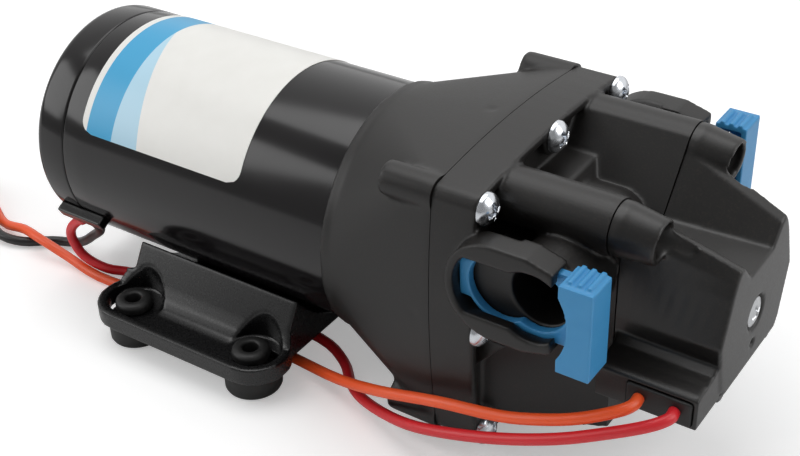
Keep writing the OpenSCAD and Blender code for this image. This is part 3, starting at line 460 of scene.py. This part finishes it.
CAN_R, CAN_IN = 33.5, 31.9
CAN_REAR, CAN_FRONT = -92.4, 4
can_profile = [(CAN_REAR, CAN_IN)]
can_profile += rounded((CAN_REAR, CAN_R), (CAN_REAR, CAN_IN), (0, CAN_R), 0.7)
can_profile += [(along, CAN_R) for along in (-85, -60, -30, 0, CAN_FRONT)] + [(CAN_FRONT, CAN_IN)]
can = turned("motor_can_drawn", can_profile, "motor_can")
REAR_X = -103.7
REAR_WALL_X = REAR_X + 2.2
SPIGOT_X, SPIGOT_IN = -88.4, 29.5
BUSH_X, BUSH_OUT, BUSH_IN = -93.4, 10, 7
rear_profile = [(REAR_X, 0.01), (REAR_X, 8), (REAR_X + 0.4, 8.6), (REAR_X + 0.4, 22), (REAR_X, 22.6)]
rear_profile += rounded((REAR_X, CAN_R), (REAR_X, 0), (CAN_REAR, CAN_R), 3, 8)
rear_profile += rounded((CAN_REAR, CAN_R), (REAR_X, CAN_R), (CAN_REAR, 0), 0.6)
rear_profile += [(CAN_REAR, CAN_IN), (SPIGOT_X, CAN_IN), (SPIGOT_X, SPIGOT_IN), (-95.4, SPIGOT_IN)]
rear_profile += [(REAR_WALL_X, SPIGOT_IN), (REAR_WALL_X, BUSH_OUT), (BUSH_X, BUSH_OUT)]
rear_profile += [(BUSH_X, BUSH_IN), (REAR_WALL_X, BUSH_IN), (REAR_WALL_X, 0.01)]
rear_cap = turned("rear_cap_turned", rear_profile, "rear_cap")
print("turned:", can.name, rear_cap.name)

# %% [markdown]
# The feet are moulded rubber: a wide foot under the bracket, a neck in its slot and a smaller
# flange on top, with a hole for a screw. The same spinning makes them, around an upright axis.

# %% Feet
FOOT_AROUND = 64
FOOT_PROFILE = [
    (2.2, 0), (7.2, 0), (7.7, 0.2), (8, 0.8), (8, 6.0), (7.8, 6.5), (7.3, 6.8), (4.2, 6.8), (4.2, 9.6),
    (4.7, 9.6), (5.1, 9.8), (5.3, 10.2), (5.3, 11.4), (5.1, 12.1), (4.4, 12.65), (2.8, 12.7), (2.35, 12.5),
    (2.2, 12.1), (2.2, 6), (2.2, 0),
]


def standing(centre, profile):
    """Rings of a profile of (out, up) places in millimetres around an upright line."""
    rings = []
    for out, up in profile:
        ring = [centre + Vector((out * c, out * s, up)) * MM for c, s in circle(FOOT_AROUND)]
        rings.append(ring)
    return rings


feet = []
for node in ("foot_rear_near", "foot_rear_far", "foot_front_near", "foot_front_far"):
    low, high = (Vector(corner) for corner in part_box(node))
    centre = Vector(((low.x + high.x) / 2, (low.y + high.y) / 2, 0))
    mesh = rings_to_mesh(node + "_rubber", [standing(centre, FOOT_PROFILE)], closed_ends=False)
    mesh.set_sharp_from_angle(angle=radians(50))
    feet.append(mesh_piece(node + "_rubber", mesh, "pump_body", node))
print("feet:", len(feet))

# %% [markdown]
# The head's screws are zinc-plated steel with a domed head and a cross recess. A cut would leave
# ragged edges at this size, so the head is a round grid whose height is the dome's, less the
# depth of the cross.

# %% Screws with a cross recess
SCREW_AROUND = 96
DOME_RINGS = 24


def dome_height(out, head_r, head_h):
    """Height of the dome at a distance from its middle."""
    ball = (head_r**2 + head_h**2) / (2 * head_h) * 1.02
    edge = sqrt(max(ball**2 - head_r**2, 0))
    return max(sqrt(max(ball**2 - out**2, 0)) - edge, 0)


def cross_depth(x, y, arm, width, deep):
    """Depth of a cross recess with sloping walls at a place on the head."""
    across, along = sorted((abs(x), abs(y)))
    inside = min((width / 2 - across) / 0.22, (arm - along) / 0.5, 1)
    return deep * max(inside, 0) * (1 - 0.45 * along / arm)


def screw_rings(head_r, rim_h, head_h, shank_r, shank_l, turn):
    """Rings of a screw that points along -Z, with its seat at zero, in millimetres."""
    outline = [(shank_r * 0.4, -shank_l), (shank_r, -shank_l + 1), (shank_r, -0.02)]
    outline += [(head_r - 0.15, 0), (head_r, 0.15), (head_r, rim_h * 0.8), (head_r - 0.05, rim_h)]
    rings = [[(out * c, out * s, up) for c, s in circle(SCREW_AROUND)] for out, up in outline]
    spin = radians(turn)
    for step in range(1, DOME_RINGS + 1):
        out = (head_r - 0.05) * (1 - step / DOME_RINGS) + 0.01
        up = rim_h + dome_height(out, head_r, head_h - rim_h)
        ring = []
        for c, s in circle(SCREW_AROUND):
            x, y = out * c, out * s
            u, v = x * cos(spin) + y * sin(spin), y * cos(spin) - x * sin(spin)
            ring.append((x, y, up - cross_depth(u, v, head_r * 0.6, head_r * 0.27, head_h * 0.55)))
        rings.append(ring)
    return rings


def screws(name, node, places, head_r, rim_h, head_h, shank_r, shank_l):
    """Screws along the motor's axis. Each place is (along, across, up, turn)."""
    strips = []
    for along, across, up, turn in places:
        rings = screw_rings(head_r, rim_h, head_h, shank_r, shank_l, turn)
        strips.append([
            [AXIS + Vector((along + z, across + x, up + y)) * MM for x, y, z in ring] for ring in rings
        ])
    mesh = rings_to_mesh(name, strips)
    mesh.set_sharp_from_angle(angle=radians(38))
    return mesh_piece(name, mesh, body_of_node(node), node)


# Each set gives its head's radius, rim and height, then its shank's radius and length.
HEAD_SEAT, CORNER, SIDE = 48, 33, 35.7
head_places = [(HEAD_SEAT, -CORNER, CORNER, 12), (HEAD_SEAT, CORNER, CORNER, 40)]
head_places += [(HEAD_SEAT, -CORNER, -CORNER, 75), (HEAD_SEAT, CORNER, -CORNER, 20)]
head_places += [(HEAD_SEAT, 0, SIDE, 30), (HEAD_SEAT, 0, -SIDE, 5)]
head_places += [(HEAD_SEAT, SIDE, 0, 60), (HEAD_SEAT, -SIDE, 0, 33)]
head_screws = screws("head_screws_domed", "head_screws", head_places, 4.05, 1.1, 3.4, 1.95, 19)
CAP_SEAT = 79
cap_places = [(CAP_SEAT, -20.6, 30.5, 10), (CAP_SEAT, 20.6, 30.5, 50)]
cap_screws = screws("cap_screws_domed", "cap_screws", cap_places, 3.6, 0.9, 2.6, 1.95, 18)
adjuster = screws("adjusting_screw_domed", "adjusting_screw", [(101.7, 0, 4, 20)], 3.9, 0.8, 1.6, 2.0, 9.5)
print("screws:", len(head_places) + len(cap_places) + 1)

# %% [markdown]
# The label is a thin vinyl sheet wrapped around the top of the can, with rounded corners. It is a
# curved grid: each row of the grid keeps inside the rounded corners, and a second skin below
# closes it.

# %% The label
LABEL_X, LABEL_HALF, LABEL_CORNER = (-85.4, -28.4), radians(67), 4.0
LABEL_UNDER, LABEL_OVER = 33.52, 33.68
LABEL_ROWS, LABEL_COLUMNS = 96, 40


def label_skin(reach):
    """Rows of places on the can's top, at a distance from the axis in millimetres."""
    rows = []
    arc = 2 * LABEL_HALF * CAN_R
    for row in range(LABEL_ROWS + 1):
        s = arc * row / LABEL_ROWS
        from_edge = min(s, arc - s)
        cut = 0
        if from_edge < LABEL_CORNER:
            cut = LABEL_CORNER - sqrt(max(LABEL_CORNER**2 - (LABEL_CORNER - from_edge) ** 2, 0))
        angle = LABEL_HALF - s / CAN_R
        places = []
        for column in range(LABEL_COLUMNS + 1):
            along = LABEL_X[0] + cut + (LABEL_X[1] - LABEL_X[0] - 2 * cut) * column / LABEL_COLUMNS
            places.append(AXIS + Vector((along, reach * sin(angle), reach * cos(angle))) * MM)
        rows.append(places)
    return rows


def label_mesh(name):
    """Two skins joined around their edge."""
    bm = bmesh.new()
    skins = []
    for reach in (LABEL_UNDER, LABEL_OVER):
        skins.append([[bm.verts.new(place) for place in row] for row in label_skin(reach)])
    for grid in skins:
        for low, high in zip(grid, grid[1:]):
            for i in range(LABEL_COLUMNS):
                bm.faces.new((low[i], low[i + 1], high[i + 1], high[i]))
    edges = []
    for grid in skins:
        up_one_side = [row[-1] for row in grid[1:]]
        down_the_other = [row[0] for row in grid[-2:0:-1]]
        edges.append(grid[0] + up_one_side + grid[-1][-2::-1] + down_the_other)
    for i in range(len(edges[0])):
        j = (i + 1) % len(edges[0])
        bm.faces.new((edges[0][i], edges[0][j], edges[1][j], edges[1][i]))
    bmesh.ops.recalc_face_normals(bm, faces=bm.faces[:])
    mesh = bpy.data.meshes.new(name)
    bm.to_mesh(mesh)
    bm.free()
    mesh.shade_smooth()
    mesh.set_sharp_from_angle(angle=radians(40))
    return mesh


label = mesh_piece("label_vinyl_sheet", label_mesh("label_vinyl_sheet"), "pump_body", "label")
print("label faces:", len(label.data.polygons))

# %% [markdown]
# Materials: first the small tools that every finish uses. One turns an sRGB hex colour to linear
# light. One adds a node, sets it and links it. Sizes of patterns are given in millimetres, and a
# texture's scale is one over its size. Most finishes are then dressed in the same way: a colour
# between two tones, a gloss that varies a little, and a fine bump.

# %% Tools for materials
def colour(code):
    """An sRGB hex colour as linear light."""
    parts = [int(code[i:i + 2], 16) / 255 for i in (1, 3, 5)]
    return [p / 12.92 if p <= 0.04045 else ((p + 0.055) / 1.055) ** 2.4 for p in parts] + [1]


def add(tree, kind, settings, links):
    """Adds a node. Settings are its properties, or values of its sockets by name or number.

    Links are pairs of an output and the input that it goes to.
    """
    node = tree.nodes.new(kind)
    for key, value in settings.items():
        if isinstance(key, str) and hasattr(node, key):
            setattr(node, key, value)
        else:
            node.inputs[key].default_value = value
    for source, target in links:
        tree.links.new(source, node.inputs[target])
    return node


def per_mm(size):
    """The scale of a texture whose features are so many millimetres wide."""
    return 1 / (size * MM)


made_materials = {}


def start(name, settings):
    """A new material with its shader, and places on the object to hang patterns on."""
    material = bpy.data.materials.new(name)
    made_materials[name] = material
    material.use_nodes = True
    tree = material.node_tree
    shader = tree.nodes["Principled BSDF"]
    for key, value in settings.items():
        shader.inputs[key].default_value = value
    places = tree.nodes.new("ShaderNodeTexCoord").outputs["Object"]
    return material, tree, shader, places


def dress(tree, shader, tones, shade, roughness, wear, bumps, grain):
    """Gives a shader its colour, roughness and bump, each from a texture.

    The colour goes from one tone to the other with shade, and the roughness through its range with wear.
    The bumps are a strength and a depth in millimetres, and follow grain.
    """
    tone = add(tree, "ShaderNodeMix", {"data_type": "RGBA", 6: colour(tones[0]), 7: colour(tones[1])},
               [(shade.outputs["Fac"], 0)])
    rough = add(tree, "ShaderNodeMapRange", {"To Min": roughness[0], "To Max": roughness[1]},
                [(wear.outputs["Fac"], "Value")])
    bump = add(tree, "ShaderNodeBump", {"Strength": bumps[0], "Distance": bumps[1] * MM},
               [(grain.outputs["Fac"], "Height")])
    tree.links.new(tone.outputs[2], shader.inputs["Base Color"])
    tree.links.new(rough.outputs["Result"], shader.inputs["Roughness"])
    tree.links.new(bump.outputs["Normal"], shader.inputs["Normal"])
    return tone


# %% [markdown]
# Glass-filled nylon is what the housing, the head and the cap are moulded from. The mould's fine
# spark-eroded grain breaks the gloss into a warm grey sheen. The flow of the melt leaves faint
# clouds in it, and ends of fibres at the skin show as paler flecks. The bracket, the wire block
# and the tie come from smoother moulds.

# %% Glass-filled nylon, moulded in a grained tool
def grained_nylon(name, dark, light, fleck, gloss, grain_mm, depth, shine):
    """Moulded plastic with flecks of fibre. The grain is drawn at the size that shows at this distance."""
    material, tree, shader, places = start(name, {"IOR": 1.53, "Specular IOR Level": shine})
    clouds = add(tree, "ShaderNodeTexNoise", {"Scale": per_mm(22), "Detail": 3.0}, [(places, "Vector")])
    grain = add(tree, "ShaderNodeTexNoise", {"Scale": per_mm(grain_mm), "Detail": 2.0},
                [(places, "Vector")])
    roughness = (gloss - 0.06, gloss + 0.08)
    tone = dress(tree, shader, (dark, light), clouds, roughness, grain, (0.5, depth), grain)
    fibres = add(tree, "ShaderNodeMapRange", {"From Min": 0.52, "From Max": 0.72, "To Max": 0.6},
                 [(grain.outputs["Fac"], "Value")])
    flecked = add(tree, "ShaderNodeMix", {"data_type": "RGBA", 7: colour(fleck)},
                  [(fibres.outputs["Result"], 0), (tone.outputs[2], 6)])
    tree.links.new(flecked.outputs[2], shader.inputs["Base Color"])
    return material


nylon = grained_nylon("glass_filled_nylon_grained", "#0E0D0C", "#141211", "#261F1A", 0.42, 0.55, 0.03, 0.45)
cap_nylon = grained_nylon("glass_filled_nylon_satin", "#100F0E", "#161413", "#27211C", 0.38, 0.6, 0.02, 0.5)
satin_nylon = grained_nylon("nylon_moulded_satin", "#0B0B0C", "#101011", "#141415", 0.27, 0.8, 0.006, 0.5)
gloss_nylon = grained_nylon("polished_nylon_black", "#0A0A0A", "#0F0F10", "#131313", 0.2, 0.9, 0.004, 0.5)
tie_nylon = grained_nylon("natural_nylon_tie", "#E2E1DA", "#EDECE6", "#F2F1EC", 0.4, 0.5, 0.01, 0.5)
print("materials:", len(made_materials))

# %% [markdown]
# The can is drawn steel under stoved black enamel. Enamel flows out before it sets, so it is
# glossy with a very slight orange-peel, and the highlights are long and soft.

# %% Stoved enamel on drawn steel
def enamel(name, deep, pale):
    material, tree, shader, places = start(name, {"IOR": 1.5})
    peel = add(tree, "ShaderNodeTexNoise", {"Scale": per_mm(2.2), "Detail": 2.0}, [(places, "Vector")])
    dust = add(tree, "ShaderNodeTexNoise", {"Scale": per_mm(30), "Detail": 4.0}, [(places, "Vector")])
    dress(tree, shader, (deep, pale), dust, (0.1, 0.2), dust, (0.2, 0.006), peel)
    return material


can_enamel = enamel("stoved_black_enamel", "#121011", "#181617")
print("materials:", len(made_materials))

# %% [markdown]
# The clips are moulded acetal, coloured blue through. Acetal is waxy: a soft gloss, a little
# light that goes in and comes out again, and hardly any grain.

# %% Acetal, moulded blue
def acetal(name, deep, pale):
    material, tree, shader, places = start(name, {"IOR": 1.48, "Subsurface Weight": 0.06})
    shader.inputs["Subsurface Radius"].default_value = (0.0006, 0.0012, 0.002)
    flow = add(tree, "ShaderNodeTexNoise", {"Scale": per_mm(9), "Detail": 3.0, "Distortion": 0.6},
               [(places, "Vector")])
    fine = add(tree, "ShaderNodeTexNoise", {"Scale": per_mm(0.7), "Detail": 2.0}, [(places, "Vector")])
    dress(tree, shader, (deep, pale), flow, (0.34, 0.46), fine, (0.3, 0.008), fine)
    return material


blue_acetal = acetal("acetal_moulded_blue", "#378CC4", "#4598CC")
red_acetal = acetal("acetal_moulded_red", "#B8322A", "#C8443A")
print("materials:", len(made_materials))

# %% [markdown]
# Soft PVC covers the leads. It comes out of the extruder smooth and a little waxy, with a faintly
# uneven skin and a slight change of shade along its length.

# %% PVC insulation, extruded
def insulation(name, deep, pale):
    material, tree, shader, places = start(name, {"IOR": 1.52, "Subsurface Weight": 0.04})
    shader.inputs["Subsurface Radius"].default_value = (0.001, 0.0005, 0.0003)
    along = add(tree, "ShaderNodeTexNoise", {"Scale": per_mm(14), "Detail": 3.0}, [(places, "Vector")])
    skin = add(tree, "ShaderNodeTexNoise", {"Scale": per_mm(0.8), "Detail": 2.0}, [(places, "Vector")])
    dress(tree, shader, (deep, pale), along, (0.3, 0.42), skin, (0.25, 0.01), skin)
    return material


orange_pvc = insulation("pvc_insulation_orange", "#FA5522", "#FF6632")
red_pvc = insulation("pvc_insulation_red", "#D8202A", "#E42E36")
black_pvc = insulation("pvc_insulation_black", "#161515", "#1E1C1C")
print("materials:", len(made_materials))

# %% [markdown]
# Metals: a metal takes its colour from its reflection, so the shade goes in the base colour with
# metallic at one. Zinc plate is bright and slightly blotched, turned steel has a finer pattern,
# and a casting is dull and granular.

# %% Metals
def metal(name, dark, light, gloss, blotch_mm, depth):
    material, tree, shader, places = start(name, {"Metallic": 1.0})
    blotch = add(tree, "ShaderNodeTexNoise", {"Scale": per_mm(blotch_mm), "Detail": 4.0},
                 [(places, "Vector")])
    roughness = (gloss - 0.05, gloss + 0.07)
    dress(tree, shader, (dark, light), blotch, roughness, blotch, (0.3, depth), blotch)
    return material


zinc = metal("zinc_plate_bright", "#C9CDD3", "#E6E9ED", 0.22, 1.6, 0.01)
turned_steel = metal("steel_turned", "#B9BBBE", "#D2D4D6", 0.28, 0.6, 0.006)
cast_alloy = metal("alloy_die_cast", "#8E9093", "#A4A6A9", 0.45, 0.8, 0.02)
laminations = metal("silicon_steel_stamped", "#6E7074", "#85878B", 0.42, 0.7, 0.01)
copper = metal("copper_enamelled_wire", "#A4552A", "#BE6E3A", 0.3, 0.5, 0.02)
strand_copper = metal("copper_strand_drawn", "#B87345", "#D09060", 0.3, 0.4, 0.005)
bronze = metal("bronze_sintered", "#8F6C36", "#A9854A", 0.48, 0.4, 0.02)
print("materials:", len(made_materials))

# %% [markdown]
# Rubber, ferrite, carbon, board and natural nylon are dull and fine-grained. They share one
# recipe with their own shades, grit and gloss.

# %% Dull and gritty finishes
def dull(name, dark, light, gloss, grit_mm, depth):
    material, tree, shader, places = start(name, {"IOR": 1.5})
    grit = add(tree, "ShaderNodeTexNoise", {"Scale": per_mm(grit_mm), "Detail": 3.0}, [(places, "Vector")])
    smear = add(tree, "ShaderNodeTexNoise", {"Scale": per_mm(grit_mm * 14), "Detail": 3.0},
                [(places, "Vector")])
    roughness = (gloss - 0.07, gloss + 0.07)
    dress(tree, shader, (dark, light), smear, roughness, grit, (0.35, depth), grit)
    return material


rubber = dull("nitrile_rubber_moulded", "#131313", "#1A1A19", 0.5, 0.5, 0.015)
ferrite = dull("ferrite_ground", "#3E3E41", "#505054", 0.6, 0.4, 0.01)
carbon = dull("carbon_pressed", "#242426", "#323234", 0.55, 0.3, 0.01)
board = dull("phenolic_board", "#6B4C30", "#82603F", 0.5, 0.6, 0.02)
natural = dull("natural_nylon_moulded", "#D2CFC4", "#DEDBD1", 0.42, 0.5, 0.01)
print("materials:", len(made_materials))

# %% [markdown]
# The label is printed vinyl: white, with a blue band beside a narrow margin at the motor's rear
# end, and a pale blue wedge next to the band. Nothing is written on it. The colours are laid down
# by place: how far along the can, and how far around.

# %% Printed vinyl
def printed_vinyl(name):
    material, tree, shader, places = start(name, {"IOR": 1.5})
    place = add(tree, "ShaderNodeSeparateXYZ", {}, [(places, "Vector")])
    margin_edge = AXIS.x + (LABEL_X[0] + 2.1) * MM
    band_edge = AXIS.x + (LABEL_X[0] + 11.5) * MM
    in_margin = add(tree, "ShaderNodeMath", {"operation": "LESS_THAN", 1: margin_edge},
                    [(place.outputs["X"], 0)])
    in_band = add(tree, "ShaderNodeMath", {"operation": "LESS_THAN", 1: band_edge},
                  [(place.outputs["X"], 0)])
    # The wedge is 9.5 mm wide at the near edge, 31 mm out from the middle.
    # It runs out at the top of the can.
    slant = add(tree, "ShaderNodeMath", {"operation": "MULTIPLY_ADD", 1: 9.5 / 31},
                [(place.outputs["Y"], 0), (place.outputs["X"], 2)])
    in_wedge = add(tree, "ShaderNodeMath", {"operation": "LESS_THAN", 1: band_edge},
                   [(slant.outputs[0], 0)])
    fibre = add(tree, "ShaderNodeTexNoise", {"Scale": per_mm(6), "Detail": 4.0}, [(places, "Vector")])
    white = add(tree, "ShaderNodeMix", {"data_type": "RGBA", 6: colour("#F1F0EB"), 7: colour("#F8F7F3")},
                [(fibre.outputs["Fac"], 0)])
    pale = add(tree, "ShaderNodeMix", {"data_type": "RGBA", 7: colour("#BCE1F4")},
               [(in_wedge.outputs[0], 0), (white.outputs[2], 6)])
    blue = add(tree, "ShaderNodeMix", {"data_type": "RGBA", 7: colour("#45ABDB")},
               [(in_band.outputs[0], 0), (pale.outputs[2], 6)])
    ink = add(tree, "ShaderNodeMix", {"data_type": "RGBA"},
              [(in_margin.outputs[0], 0), (blue.outputs[2], 6), (white.outputs[2], 7)])
    tree.links.new(ink.outputs[2], shader.inputs["Base Color"])
    rough = add(tree, "ShaderNodeMapRange", {"To Min": 0.3, "To Max": 0.4},
                [(fibre.outputs["Fac"], "Value")])
    tree.links.new(rough.outputs["Result"], shader.inputs["Roughness"])
    return material


vinyl = printed_vinyl("printed_vinyl_sheet")
print("materials:", len(made_materials))

# %% [markdown]
# Now each piece gets its finish. Pieces that stay as solids sit inside the pump and only need
# their material.

# %% Finishes of the pieces that show
def finish_of(piece, material):
    piece.data.materials.clear()
    piece.data.materials.append(material)


shown = [
    (housing, nylon, "black_plastic"), (head, nylon, "black_plastic"),
    (cap, cap_nylon, "gloss_black_plastic"), (bracket, satin_nylon, "gloss_black_plastic"),
    (near_clip, blue_acetal, "blue_plastic"), (far_clip, blue_acetal, "blue_plastic"),
    (wire_block, gloss_nylon, "black_plastic"), (grommet, rubber, "black_rubber"),
    (coil_tie, tie_nylon, "natural_nylon"), (can, can_enamel, "enamelled_steel"),
    (rear_cap, can_enamel, "enamelled_steel"), (label, vinyl, "label_vinyl"),
    (head_screws, zinc, "zinc_steel"), (cap_screws, zinc, "zinc_steel"), (adjuster, turned_steel, "steel"),
    (orange_lead, orange_pvc, "orange_pvc"), (red_lead, red_pvc, "red_pvc"),
    (black_lead, black_pvc, "black_pvc"), (lead_tips, strand_copper, "copper"),
]
shown += [(foot, rubber, "black_rubber") for foot in feet]
for piece, material, slot in shown:
    finish_of(piece, material)
print("finished pieces:", len(shown))

# %% Finishes of the solids inside
inside = {
    "front_plate": cast_alloy, "field_magnets": ferrite, "rear_bush": bronze, "front_bearing": turned_steel,
    "brush_holder": board, "brushes": carbon, "brush_springs": bronze, "bracket_screws": zinc,
    "motor_shaft": turned_steel, "armature_core": laminations, "armature_winding": copper,
    "commutator": strand_copper, "drive_cam": cast_alloy, "wobble_plate": natural,
    "wobble_bearing": turned_steel, "pistons": natural, "diaphragm": rubber, "valve_plate": natural,
    "inlet_valves": rubber, "outlet_valves": rubber, "head_seal": rubber, "cap_gasket": rubber,
    "switch_diaphragm": rubber, "switch_plunger": natural, "pressure_spring": turned_steel,
    "spring_seat": cast_alloy, "microswitch": nylon, "switch_button": red_acetal,
}
for node, material in inside.items():
    solid = frame["nodes"][node]
    solid.data.materials.clear()
    solid.data.materials.append(material)
print("finished solids:", len(inside))

# %% [markdown]
# The pump stands on a plain pale floor under soft studio light. The floor is nearly white and
# keeps the shadow. The world is white to the camera. Reflections see a studio: a white backdrop
# behind the pump, and a dimmer room in front of it. As a light the world is dim, and three soft
# lamps do the rest.

# %% The floor
# The floor lies a hair below the feet, so that the two faces do not fight for the same place.
FLOOR_HALF, FLOOR_Z, FLOOR_LIFT = 6, -0.0004, 0.34
floor_mesh = bpy.data.meshes.new("floor")
floor_corners = [(x * FLOOR_HALF, y * FLOOR_HALF, 0) for x, y in ((-1, -1), (1, -1), (1, 1), (-1, 1))]
floor_mesh.from_pydata(floor_corners, [], [(0, 1, 2, 3)])
floor = bpy.data.objects.new("floor", floor_mesh)
floor.location.z = FLOOR_Z
scene.collection.objects.link(floor)
floor_material, tree, shader, places = start("pale_floor", {"Roughness": 0.9, "Specular IOR Level": 0.0})
shader.inputs["Base Color"].default_value = (0.9, 0.9, 0.9, 1)
shader.inputs["Emission Color"].default_value = (1, 1, 1, 1)
path = add(tree, "ShaderNodeLightPath", {}, [])
lift = add(tree, "ShaderNodeMath", {"operation": "MULTIPLY", 1: FLOOR_LIFT},
           [(path.outputs["Is Camera Ray"], 0)])
tree.links.new(lift.outputs[0], shader.inputs["Emission Strength"])
floor_mesh.materials.append(floor_material)
print("floor made")

# %% The world
WORLD_LIGHT = 0.3
world = bpy.data.worlds.new("studio")
scene.world = world
world.use_nodes = True
tree = world.node_tree
sky = tree.nodes["Background"]
sky.inputs["Color"].default_value = (1, 1, 1, 1)
path = add(tree, "ShaderNodeLightPath", {}, [])
ways = tree.nodes.new("ShaderNodeTexCoord").outputs["Generated"]
way = add(tree, "ShaderNodeSeparateXYZ", {}, [(ways, "Vector")])
room = add(tree, "ShaderNodeMapRange", {"From Min": -0.6, "From Max": 0.7, "To Min": 0.2, "To Max": 1.0},
           [(way.outputs["Y"], "Value")])
shine = add(tree, "ShaderNodeMath", {"operation": "MULTIPLY"},
            [(path.outputs["Is Glossy Ray"], 0), (room.outputs["Result"], 1)])
seen = add(tree, "ShaderNodeMath", {"operation": "MAXIMUM"},
           [(path.outputs["Is Camera Ray"], 0), (path.outputs["Is Transmission Ray"], 1)])
level = add(tree, "ShaderNodeMath", {"operation": "MAXIMUM"}, [(seen.outputs[0], 0), (shine.outputs[0], 1)])
level = add(tree, "ShaderNodeMath", {"operation": "MAXIMUM", 1: WORLD_LIGHT}, [(level.outputs[0], 0)])
tree.links.new(level.outputs[0], sky.inputs["Strength"])
print("world made")

# %% Lamps
def softbox(name, place, target, size, power):
    """A large soft lamp at a place, turned to a target."""
    data = bpy.data.lights.new(name, "AREA")
    data.shape = "RECTANGLE"
    data.size, data.size_y = size
    data.energy = power
    lamp = bpy.data.objects.new(name, data)
    lamp.location = place
    lamp.rotation_euler = (Vector(target) - Vector(place)).to_track_quat("-Z", "Y").to_euler()
    scene.collection.objects.link(lamp)
    return lamp


# Each lamp has a place, a target and a size in metres, and a power in watts.
middle = (0.02, 0, 0.04)
softbox("top_softbox", (-0.15, 0.1, 0.9), middle, (0.9, 0.6), 3.7)
softbox("left_softbox", (-0.75, -0.55, 0.5), middle, (0.6, 0.6), 2.6)
softbox("right_softbox", (0.7, 0.15, 0.55), middle, (0.5, 0.6), 2.1)
scene.view_settings.view_transform = "Standard"

# %% [markdown]
# Last, the scene is brought up to date.

# %% Bringing the scene up to date
bpy.context.view_layer.update()
